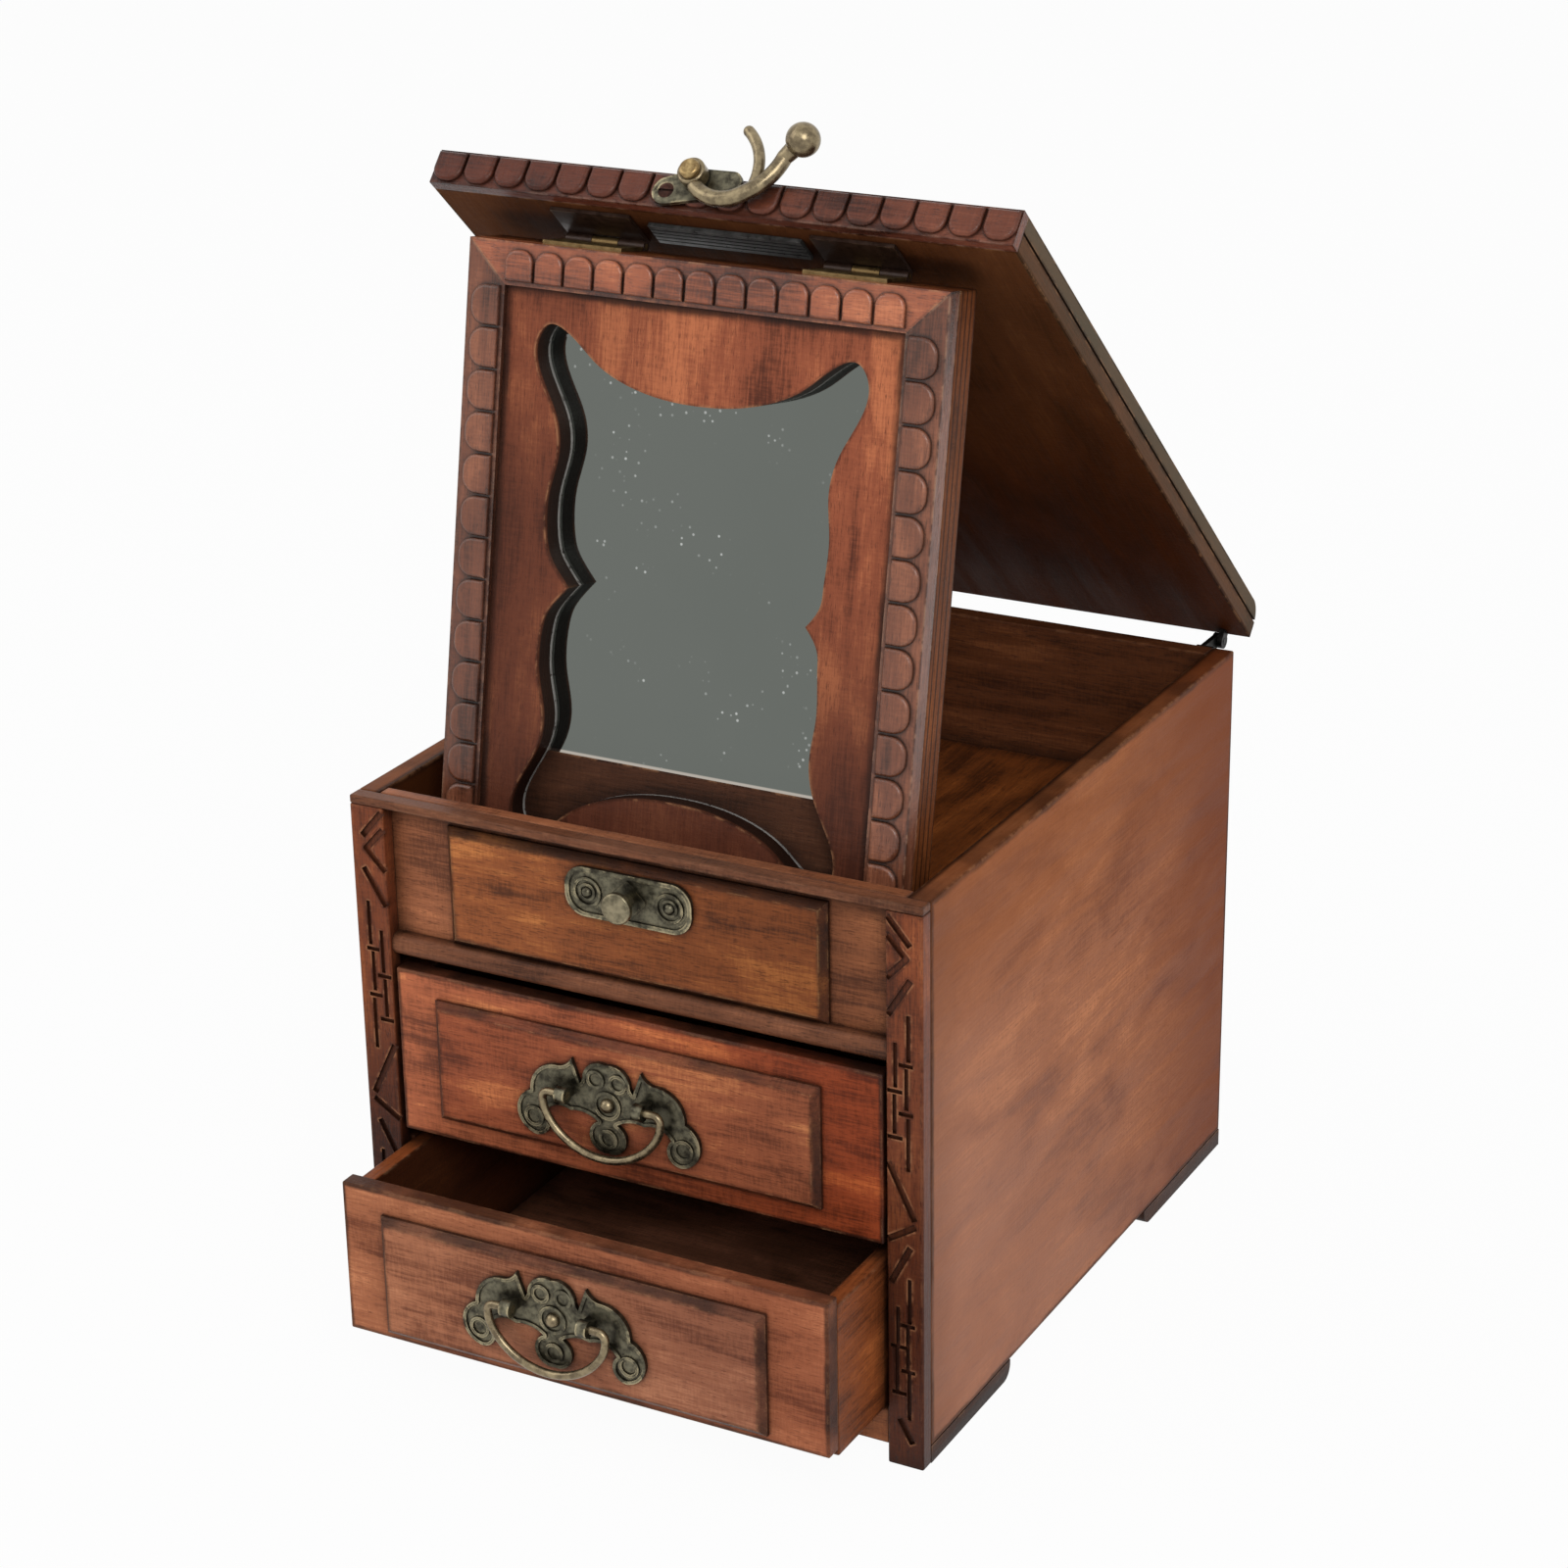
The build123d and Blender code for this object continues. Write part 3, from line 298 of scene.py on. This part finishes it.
# The colour goes towards Grime where grime and painted shade fall, then towards Worn on rubbed edges.
aged = mix_colour(age_and_shade, grime_and_corner_shade, given.outputs["Color"], given.outputs["Grime and shade"])
aged = mix_colour(age_and_shade, edge, aged, given.outputs["Worn"])
age_and_shade.links.new(aged, put_out.inputs["Color"])
age_and_shade.links.new(edge, put_out.inputs["Worn"])

along_x = (0.0, 0.0, 0.0)
along_y = (0.0, 0.0, math.radians(-90))
along_z = (0.0, math.radians(90), 0.0)


def board_vector(tree, grain, lean=0.0, origin=(0, 0, 0), seed=0.0):
    """Coordinates square to a board, and the same turned so that its grain runs along X."""
    place = tree.nodes.new("ShaderNodeTexCoord")
    level_board = add_node(tree, "ShaderNodeMapping", {"Rotation": (lean, 0, 0)})
    turned = Matrix.Rotation(lean, 3, "X") @ Vector(origin)
    level_board.inputs["Location"].default_value = -turned
    along = add_node(tree, "ShaderNodeMapping", {
        "Rotation": grain, "Location": (0.31 * seed, 0.17 * seed, 0.23 * seed)})
    tree.links.new(place.outputs["Object"], level_board.inputs["Vector"])
    tree.links.new(level_board.outputs[0], along.inputs["Vector"])
    return level_board.outputs[0], along.outputs[0]


def wood_finish(name, light, middle, dark, grain, lean=0.0, origin=(0, 0, 0), seed=0.0, clouds=0.40,
                grime_and_shade=0.9, worn=0.7, worn_colour=(0.50, 0.25, 0.12), rough=0.42, gloss_level=0.14,
                coat=0.0, tint=None):
    """A varnished stain on wood. tint may change the colour by place (dark borders of stain, painted
    light and shade), before the wood is aged and its corners given painted shade.
    """
    finish = bpy.data.materials.new(name)
    finish.use_nodes = True
    tree = finish.node_tree
    shader = tree.nodes["Principled BSDF"]
    board, vector = board_vector(tree, grain, lean, origin, seed)
    wood = add_node(tree, "ShaderNodeGroup", node_tree=wood_grain)
    wood.inputs["Light"].default_value = (*light, 1)
    wood.inputs["Middle"].default_value = (*middle, 1)
    wood.inputs["Dark"].default_value = (*dark, 1)
    wood.inputs["Clouds"].default_value = clouds
    tree.links.new(vector, wood.inputs["Vector"])
    colour = wood.outputs["Color"]
    if tint:
        colour = tint(tree, board, colour)
    age_and_shade_node = add_node(tree, "ShaderNodeGroup", node_tree=age_and_shade)
    age_and_shade_node.inputs["Worn"].default_value = (*worn_colour, 1)
    age_and_shade_node.inputs["Grime amount"].default_value = grime_and_shade
    age_and_shade_node.inputs["Worn amount"].default_value = worn
    tree.links.new(colour, age_and_shade_node.inputs["Color"])
    tree.links.new(age_and_shade_node.outputs["Color"], shader.inputs["Base Color"])
    gloss = ramp(tree, wood.outputs["Sheen"], 0.3, 0.7, rough - 0.06, rough + 0.08)
    gloss = plus(tree, gloss, times(tree, age_and_shade_node.outputs["Worn"], 0.15))
    tree.links.new(gloss, shader.inputs["Roughness"])
    shader.inputs["Specular IOR Level"].default_value = gloss_level
    shader.inputs["Coat Weight"].default_value = coat
    shader.inputs["Coat Roughness"].default_value = 0.28
    relief = add_node(tree, "ShaderNodeBump", {"Strength": 0.35, "Distance": 0.0004})
    tree.links.new(wood.outputs["Height"], relief.inputs["Height"])
    tree.links.new(relief.outputs["Normal"], shader.inputs["Normal"])
    return finish


def stained_border(low, high, axes, width, strength=0.85, first=None):
    """A tint: dark stain along the edges of a face, unevenly rubbed away. first is applied before."""
    border_stain = (0.020, 0.008, 0.005)

    def tint(tree, board, colour):
        if first:
            colour = first(tree, board, colour)
        nearest = None
        for axis in axes:
            index = "XYZ".index(axis)
            middle = (low[index] + high[index]) / 2
            half = (high[index] - low[index]) / 2
            to_edge = combine(tree, "SUBTRACT", half, off_middle(tree, board, axis, middle))
            nearest = to_edge if nearest is None else combine(tree, "MINIMUM", nearest, to_edge)
        uneven = stretched_noise(tree, board, (110, 110, 110), 4.0, 0.6)
        reach = ramp(tree, uneven, 0.30, 0.70, 0.80 * width, 1.12 * width)
        band = ramp(tree, combine(tree, "DIVIDE", nearest, reach), 0.40, 1.0, strength, 0.0)
        kept = ramp(tree, stretched_noise(tree, board, (38, 38, 38), 3.0), 0.34, 0.60, 0.45, 1.0)
        return mix_colour(tree, times(tree, band, kept), colour, border_stain)
    return tint


def painted_light_gradient(axis, low, high, at_low, at_high):
    """A tint of painted light and shade: the colour changes along one axis, by these factors at its
    two ends.
    """
    def tint(tree, board, colour):
        share = ramp(tree, axis_value(tree, board, axis), low, high)
        return mix_colour(tree, 1.0, colour, mix_colour(tree, share, at_low, at_high), "MULTIPLY")
    return tint


def dress(finish, *names):
    """Gives a finish to CAD pieces."""
    for name in names:
        for slot in nodes[name].material_slots:
            slot.material = finish


# ------------------------------------------------------------------ the carcass
# Two side boards with their grain running front to back, stained orange-brown outside, with painted
# light and shade on it, and much darker inside. Back, base, divider and tray are thin boards with a
# dark inner stain.
side_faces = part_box("side_right")
side_border = 0.0024
inner_skin = 0.0008
inside_stain = (0.066, 0.0200, 0.0062)


def sides_in_painted_light(tree, board, colour):
    """Painted light makes the side boards paler low in front, and painted shade darker and redder at
    the top and the rear; they are darker along the front edge, and dark inside.
    """
    front, back = side_faces[0].y, side_faces[1].y
    inside = side_faces[0].x
    across = off_middle(tree, board, "X")
    along = axis_value(tree, board, "Y")
    rise = axis_value(tree, board, "Z")
    low_front = ramp(tree, plus(tree, along, rise), -0.02, 0.15, 0.65, 0.0)
    high = ramp(tree, rise, 0.105, 0.160, 0.0, 0.60)
    foremost = ramp(tree, along, front, front + 0.024, 0.35, 0.0)
    rearmost = ramp(tree, along, back - 0.110, back, 0.0, 0.80)
    inner = ramp(tree, across, inside + inner_skin, inside + 3 * inner_skin, 1.0, 0.0)
    # Painted light low in front, painted shade at the top and the rear, a darker front edge, and the
    # inner stain.
    for place, stain in (
        (low_front, (0.50, 0.235, 0.155)),
        (high, (0.36, 0.105, 0.026)),
        (foremost, (0.20, 0.075, 0.040)),
        (rearmost, (0.225, 0.050, 0.012)),
        (inner, inside_stain),
    ):
        colour = mix_colour(tree, place, colour, stain)
    return colour


side_stain = wood_finish(
    "side boards", (0.73, 0.290, 0.132), (0.46, 0.165, 0.072), (0.21, 0.062, 0.026), along_y,
    seed=1.0, clouds=0.42, rough=0.46, gloss_level=0.045,
    tint=stained_border(*side_faces, "YZ", side_border, 0.7, first=sides_in_painted_light))
dress(side_stain, "side_left", "side_right")
back_stain = wood_finish(
    "back board", (0.24, 0.080, 0.028), (0.115, 0.036, 0.013), (0.040, 0.013, 0.006), along_x,
    seed=2.0, rough=0.5)
dress(back_stain, "back_panel")
inner_wood = wood_finish(
    "inner boards", (0.36, 0.103, 0.021), (0.200, 0.054, 0.0115), (0.070, 0.020, 0.006), along_y,
    seed=3.0, worn=0.2, rough=0.55, gloss_level=0.15)
dress(inner_wood, "base_board", "drawer_divider", "tray_floor", "upper_drawer_guides",
      "lower_drawer_guides")
foot_stain = wood_finish(
    "feet", (0.12, 0.045, 0.022), (0.07, 0.025, 0.013), (0.025, 0.010, 0.006), along_y, seed=4.0,
    rough=0.5)
dress(foot_stain, "feet")

# ------------------------------------------------------------------ the front
# Carved stiles cover the side boards' front edges. A dark panel with a raised field stands between
# them, over a half-round rail; an apron runs under the lower drawer.
panel_half_width = 0.075
panel_border = 0.0034
# Painted light and shade: the stiles are darker low down and brighter high up, and the panel and its
# field are brighter to the left.
carved_stain = wood_finish(
    "carved stiles", (0.28, 0.080, 0.030), (0.150, 0.038, 0.016), (0.050, 0.014, 0.007), along_z,
    seed=5.0, worn_colour=(0.46, 0.21, 0.10), worn=0.9, rough=0.36,
    tint=painted_light_gradient("Z", 0.040, 0.150, (0.50, 0.50, 0.52), (1.50, 1.55, 1.45)))
dress(carved_stain, "stile_left", "stile_right")
panel_stain = wood_finish(
    "front panel", (0.45, 0.165, 0.070), (0.255, 0.088, 0.038), (0.090, 0.029, 0.013), along_x,
    seed=6.0, tint=painted_light_gradient(
        "X", -panel_half_width, panel_half_width, (1.50, 1.52, 1.58), (1.00, 0.98, 0.95)))
dress(panel_stain, "front_panel", "apron")
strip_stain = wood_finish(
    "rim strip and rail", (0.36, 0.138, 0.066), (0.185, 0.068, 0.033), (0.055, 0.020, 0.010), along_x,
    seed=7.0, worn=0.9, worn_colour=(0.40, 0.20, 0.11), rough=0.36)
dress(strip_stain, "top_strip", "half_round_rail")
field_stain = wood_finish(
    "panel field", (0.52, 0.180, 0.050), (0.27, 0.078, 0.024), (0.075, 0.022, 0.008), along_x,
    seed=8.0, clouds=0.42, worn=1.3, worn_colour=(0.50, 0.26, 0.11),
    tint=stained_border(
        *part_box("front_panel_field"), "XZ", panel_border,
        first=painted_light_gradient("X", -0.065, 0.060, (1.25, 1.30, 1.40), (0.78, 0.76, 0.74))))
dress(field_stain, "front_panel_field")

# ------------------------------------------------------------------ the drawers
# Each drawer is a plain box behind a stained front, nearly black within. The raised field is framed
# by a dark line of stain, and the edges of the thick boards are rubbed nearly bare.
drawer_tones = {
    "upper": ((0.66, 0.190, 0.062), (0.33, 0.074, 0.028), (0.110, 0.024, 0.010)),
    "lower": ((0.58, 0.215, 0.105), (0.35, 0.112, 0.053), (0.140, 0.036, 0.016)),
}
# Painted light: factors at the left and right ends of each front and field, mostly brighter to the
# left.
drawer_painted_light = {
    "upper_drawer_front": ((1.65, 2.15, 2.50), (0.92, 0.77, 0.66)),
    "upper_drawer_field": ((1.15, 1.32, 1.50), (1.02, 1.35, 1.60)),
    "lower_drawer_front": ((1.30, 1.40, 1.35), (1.05, 1.00, 0.95)),
    "lower_drawer_field": ((1.38, 1.65, 1.75), (0.85, 0.94, 1.05)),
}
wall_tones = {
    "upper": ((0.26, 0.070, 0.024), (0.14, 0.036, 0.013), (0.05, 0.014, 0.006)),
    "lower": ((0.50, 0.145, 0.038), (0.27, 0.072, 0.020), (0.09, 0.024, 0.008)),
}
drawer_borders = {"front": 0.0018, "field": 0.0032}
drawer_wall = 0.005
wall_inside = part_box("lower_drawer_sides")[1].x - drawer_wall
drawer_light_ends = (-0.075, 0.070)


def dark_within(tree, board, colour):
    """The inner faces of a drawer's walls are nearly black."""
    across = off_middle(tree, board, "X")
    inner = ramp(tree, across, wall_inside + 0.0001, wall_inside + 0.0005, 0.85, 0.0)
    return mix_colour(tree, inner, colour, (0.030, 0.010, 0.005))


for seed, (drawer, tones) in enumerate(drawer_tones.items(), start=9):
    for piece, border in drawer_borders.items():
        node = f"{drawer}_drawer_{piece}"
        front_stain = wood_finish(
            f"{drawer} drawer {piece}", *tones, along_x, seed=seed, clouds=0.42, worn=1.0,
            tint=stained_border(
                *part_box(node), "XZ", border,
                first=painted_light_gradient("X", *drawer_light_ends, *drawer_painted_light[node])))
        dress(front_stain, node)
    wall_stain = wood_finish(
        drawer + " drawer walls", *wall_tones[drawer], along_y, seed=seed + 0.5, worn=0.9,
        worn_colour=(0.32, 0.18, 0.10), tint=dark_within)
    dress(wall_stain, drawer + "_drawer_sides")
    floor_stain = wood_finish(
        drawer + " drawer floor", (0.42, 0.165, 0.090), (0.220, 0.085, 0.045), (0.085, 0.035, 0.018),
        along_x, seed=seed + 0.7, rough=0.55, gloss_level=0.15)
    dress(floor_stain, drawer + "_drawer_floor", drawer + "_drawer_back")

# ------------------------------------------------------------------ the lid
# One thick board, red-brown on top and dark underneath, where painted shade takes it nearly to black
# and painted light brightens it towards the front, with a carved moulding glued to its front edge and
# its cut edges left in layers. It is turned up on its rear hinges.
hook_joint = next(joint for joint in frame["joints"] if joint["child"] == "hook")
lid_turn = math.atan2(-hook_joint["axis"][2], hook_joint["axis"][1])
pivot = Vector(next(joint for joint in frame["joints"] if joint["child"] == "lid")["pos_m"])
pivot_drop = 0.0030
lid_origin = pivot + Matrix.Rotation(-lid_turn, 3, "X") @ Vector((0, 0, pivot_drop))
lid_half_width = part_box("lid_board")[1].x
lid_top_layer = 0.0055
lid_rear_end = -0.040
lid_front_end = -0.230


def underside_and_edges(tree, board, colour):
    """Below, dark wood taken nearly to black by painted shade and brightened towards the front by
    painted light; the cut side edges show a paler layer.
    """
    rise = axis_value(tree, board, "Z")
    below = ramp(tree, rise, 0.0004, 0.0012, 1.0, 0.0)
    across = off_middle(tree, board, "X")
    side = ramp(tree, across, lid_half_width - 0.0009, lid_half_width - 0.0006)
    layer = times(tree, side, ramp(tree, rise, lid_top_layer, lid_top_layer + 0.0007))
    colour = mix_colour(tree, times(tree, side, 0.6), colour, (0.115, 0.090, 0.058))
    colour = mix_colour(tree, times(tree, layer, 0.5), colour, (0.165, 0.148, 0.106))
    # Painted shade: the underside is taken nearly to black, then painted light brightens it to the
    # front.
    under = mix_colour(tree, 0.14, (0.0300, 0.0090, 0.0030), colour)
    to_front = ramp(tree, axis_value(tree, board, "Y"), lid_rear_end, lid_front_end)
    painted_light_to_front = mix_colour(tree, to_front, (1.35, 1.05, 0.55), (2.3, 2.7, 2.5))
    under = mix_colour(tree, 1.0, under, painted_light_to_front, "MULTIPLY")
    return mix_colour(tree, below, colour, under)


lid_stain = wood_finish(
    "lid", (0.36, 0.115, 0.048), (0.19, 0.056, 0.025), (0.070, 0.021, 0.011), along_y, lean=lid_turn,
    origin=lid_origin, seed=12.0, worn=0.5, tint=underside_and_edges, rough=0.58, gloss_level=0.02)
dress(lid_stain, "lid_board")
# Painted light and shade: the moulding is darker at its left end and brighter at its right.
lid_front_stain = wood_finish(
    "lid moulding", (0.23, 0.072, 0.040), (0.125, 0.036, 0.020), (0.036, 0.010, 0.006), along_x,
    lean=lid_turn, origin=lid_origin, seed=13.0, worn=0.7, worn_colour=(0.40, 0.24, 0.17), rough=0.30,
    gloss_level=0.22, coat=0.05,
    tint=painted_light_gradient("X", -0.085, 0.060, (0.92, 0.74, 0.62), (1.35, 1.35, 1.30)))
dress(lid_front_stain, "lid_front_moulding")

# ------------------------------------------------------------------ the mirror frame
# A mitred carved moulding on a core of layered board, round a mat with a scalloped window. The mat's
# window is cut square, with a painted highlight along its back edge, where it meets the glass.
mirror_joint = next(joint for joint in frame["joints"] if joint["child"] == "mirror")
mirror_lean = math.radians(10.5)
pin_depth = 0.0195
pin_rise = 0.0010
mirror_origin = Vector(mirror_joint["pos_m"]) - Matrix.Rotation(-mirror_lean, 3, "X") @ Vector(
    (0, pin_depth, pin_rise))
mat_face = 0.0030
mat_back = 0.0110
mat_border = 0.0030
mat_half_width = 0.0615
mat_bottom = -0.1770
mat_top = -0.0120


def shaded_mat(tree, board, colour):
    """Painted shade to the left and low down. The window's wall is dark, with a painted highlight
    line at the glass.
    """
    across = axis_value(tree, board, "X")
    depth = axis_value(tree, board, "Y")
    rise = axis_value(tree, board, "Z")
    # Painted shade: darker to the left, less so at the top, and low down.
    left = ramp(tree, across, 0.010, -0.060, 0.0, 0.70)
    left = times(tree, left, ramp(tree, rise, -0.025, -0.075, 0.45, 1.0))
    low = ramp(tree, rise, -0.055, -0.155, 0.0, 0.78)
    colour = mix_colour(tree, combine(tree, "MAXIMUM", left, low), colour, (0.060, 0.020, 0.012))
    wall = ramp(tree, depth, mat_face + 0.0004, mat_face + 0.0016)
    colour = mix_colour(tree, times(tree, wall, 0.92), colour, (0.012, 0.006, 0.004))
    # A painted highlight: a pale, broken line on the window's wall next to the glass.
    highlight_breaks = stretched_noise(tree, board, (900, 900, 900), 2.0)
    line = ramp(tree, depth, mat_back - 0.0013, mat_back - 0.0010)
    line = times(tree, line, ramp(tree, highlight_breaks, 0.30, 0.42))
    return mix_colour(tree, line, colour, (0.78, 0.76, 0.72))


mat_stain = wood_finish(
    "mirror mat", (0.59, 0.190, 0.083), (0.32, 0.089, 0.043), (0.095, 0.026, 0.014), along_z,
    lean=mirror_lean, origin=mirror_origin, seed=14.0, clouds=0.5,
    tint=stained_border(
        (-mat_half_width, 0, mat_bottom), (mat_half_width, 0, mat_top), "XZ", mat_border,
        first=shaded_mat))
dress(mat_stain, "mirror_mat")
across_stain = wood_finish(
    "mirror moulding across", (0.68, 0.230, 0.104), (0.38, 0.108, 0.048), (0.105, 0.029, 0.014),
    along_x, lean=mirror_lean, origin=mirror_origin, seed=15.0, grime_and_shade=1.0, rough=0.26,
    gloss_level=0.40, coat=0.30)
dress(across_stain, "mirror_moulding_top", "mirror_moulding_bottom")
upright_stain = wood_finish(
    "mirror moulding upright", (0.36, 0.130, 0.066), (0.185, 0.062, 0.032), (0.055, 0.019, 0.010),
    along_z, lean=mirror_lean, origin=mirror_origin, seed=16.0, worn_colour=(0.45, 0.26, 0.16),
    grime_and_shade=1.0, rough=0.28, gloss_level=0.40, coat=0.20)
dress(upright_stain, "mirror_moulding_sides")

layer_pitch = 0.0028


def layers(tree, board, colour):
    """The core's cut edge, with thin dark glue lines between its layers."""
    turns = times(tree, axis_value(tree, board, "Y"), 2 * math.pi / layer_pitch)
    wave = combine(tree, "SINE", turns, 0.0)
    return mix_colour(tree, ramp(tree, wave, 0.35, 0.9, 0.0, 0.75), colour, (0.018, 0.008, 0.005))


core_stain = wood_finish(
    "mirror core", (0.35, 0.110, 0.032), (0.180, 0.053, 0.016), (0.058, 0.018, 0.006), along_z,
    lean=mirror_lean, origin=mirror_origin, seed=17.0, worn=0.9, worn_colour=(0.40, 0.26, 0.15),
    gloss_level=0.07, tint=layers)
dress(core_stain, "mirror_frame_stiles", "mirror_frame_rails")
backing_stain = wood_finish(
    "mirror backing", (0.15, 0.060, 0.030), (0.080, 0.030, 0.015), (0.030, 0.012, 0.006), along_x,
    lean=mirror_lean, origin=mirror_origin, seed=18.0, rough=0.55)
dress(backing_stain, "mirror_backing", "glass_rest")

# ------------------------------------------------------------------ the glass
# Old silvered glass: it gives back a dim grey of the room, through a slight haze and specks of dust,
# and has a paler ground edge at its foot.
glass_foot = -0.1420
glass = bpy.data.materials.new("mirror glass")
glass.use_nodes = True
tree = glass.node_tree
shader = tree.nodes["Principled BSDF"]
board = board_vector(tree, along_z, mirror_lean, mirror_origin)[0]
specks = add_node(tree, "ShaderNodeTexVoronoi", {"Scale": 420.0, "Randomness": 1.0})
tree.links.new(board, specks.inputs["Vector"])
dots = ramp(tree, specks.outputs["Distance"], 0.10, 0.22, 1.0, 0.0)
drifts = stretched_noise(tree, board, (55, 55, 55), 4.0, 0.6)
dots = times(tree, dots, ramp(tree, drifts, 0.52, 0.66))
rise = axis_value(tree, board, "Z")
foot_edge = ramp(tree, rise, glass_foot + 0.0006, glass_foot + 0.0010, 1.0, 0.0)
haze = ramp(tree, stretched_noise(tree, board, (14, 14, 14), 3.0), 0.35, 0.7, 0.0, 0.25)
silver = mix_colour(tree, haze, (0.136, 0.148, 0.134), (0.165, 0.174, 0.160))
silver = mix_colour(tree, times(tree, dots, 0.75), silver, (0.62, 0.64, 0.62))
silver = mix_colour(tree, foot_edge, silver, (0.46, 0.42, 0.37))
tree.links.new(silver, shader.inputs["Base Color"])
tree.links.new(ramp(tree, dots, 0.0, 1.0, 0.05, 0.5), shader.inputs["Roughness"])
shader.inputs["Metallic"].default_value = 1.0
dress(glass, "mirror_glass")


# ------------------------------------------------------------------ bronze fittings
# Cast bronze, nearly black in its hollows, greenish brown on the flats and rubbed to a dull gold on
# the crests and on the wires that fingers touch.
def metal_finish(name, hollow, flat, rubbed, rub=0.8, rough=0.36, metallic=0.9):
    """An aged metal with dark hollows and bright crests."""
    finish = bpy.data.materials.new(name)
    finish.use_nodes = True
    tree = finish.node_tree
    shader = tree.nodes["Principled BSDF"]
    place = tree.nodes.new("ShaderNodeTexCoord").outputs["Object"]
    patches = stretched_noise(tree, place, (420, 420, 420), 4.0, 0.6)
    grit = stretched_noise(tree, place, (2400, 2400, 2400), 2.0)
    base = mix_colour(tree, ramp(tree, patches, 0.3, 0.7), hollow, flat)
    age_and_shade_node = add_node(tree, "ShaderNodeGroup", node_tree=age_and_shade)
    age_and_shade_node.inputs["Grime and shade"].default_value = (*hollow, 1)
    age_and_shade_node.inputs["Worn"].default_value = (*rubbed, 1)
    age_and_shade_node.inputs["Grime amount"].default_value = 0.9
    age_and_shade_node.inputs["Worn amount"].default_value = rub
    tree.links.new(base, age_and_shade_node.inputs["Color"])
    tree.links.new(age_and_shade_node.outputs["Color"], shader.inputs["Base Color"])
    gloss = ramp(tree, patches, 0.3, 0.7, rough - 0.08, rough + 0.12)
    tree.links.new(gloss, shader.inputs["Roughness"])
    shader.inputs["Metallic"].default_value = metallic
    relief = add_node(tree, "ShaderNodeBump", {"Strength": 0.25, "Distance": 0.0002})
    height = plus(tree, patches, times(tree, grit, 0.4))
    tree.links.new(height, relief.inputs["Height"])
    tree.links.new(relief.outputs["Normal"], shader.inputs["Normal"])
    return finish


cast_bronze = metal_finish(
    "cast bronze", (0.034, 0.030, 0.021), (0.205, 0.186, 0.124), (0.60, 0.50, 0.30), rub=1.6)
dress(cast_bronze, "upper_pull_plate", "lower_pull_plate", "catch_plate", "catch_pins", "hook_plate")
dark_bronze = metal_finish(
    "dark bronze", (0.030, 0.015, 0.010), (0.080, 0.041, 0.027), (0.24, 0.16, 0.09), metallic=0.4)
dress(dark_bronze, "mirror_hinge_lid_leaves")
rubbed_bronze = metal_finish(
    "rubbed bronze", (0.140, 0.108, 0.066), (0.330, 0.262, 0.155), (0.62, 0.51, 0.32), rough=0.28)
dress(rubbed_bronze, "upper_bail", "lower_bail", "hook", "upper_pull_pin", "lower_pull_pin")
stud_bronze = metal_finish(
    "stud bronze", (0.110, 0.095, 0.060), (0.310, 0.265, 0.170), (0.62, 0.52, 0.33), rub=1.2)
dress(stud_bronze, "catch_stud")
rusty_iron = metal_finish(
    "rusty screw", (0.012, 0.006, 0.005), (0.070, 0.026, 0.018), (0.16, 0.08, 0.06), rough=0.55)
dress(rusty_iron, "hook_screw")

# ------------------------------------------------------------------ hinges and the ribbed strip
# Small brass butt hinges carry the mirror, black iron links carry the lid, and a strip of grey
# ribbed rubber is let in under the lid's front edge.
brass = metal_finish(
    "hinge brass", (0.16, 0.10, 0.04), (0.46, 0.33, 0.15), (0.75, 0.62, 0.38), rough=0.34)
dress(brass, "mirror_hinge_frame_leaves", "mirror_hinge_pins", "hook_rivet")
iron = metal_finish(
    "black iron", (0.010, 0.009, 0.008), (0.030, 0.028, 0.026), (0.16, 0.15, 0.14), rough=0.5)
dress(iron, "rear_hinge_brackets", "rear_hinge_pins", "rear_hinge_screws", "lid_hinge_lugs")
rubber = metal_finish(
    "ribbed rubber", (0.030, 0.030, 0.029), (0.150, 0.150, 0.145), (0.42, 0.42, 0.40), rough=0.35,
    metallic=0.3)
dress(rubber, "lid_ribbed_strip")
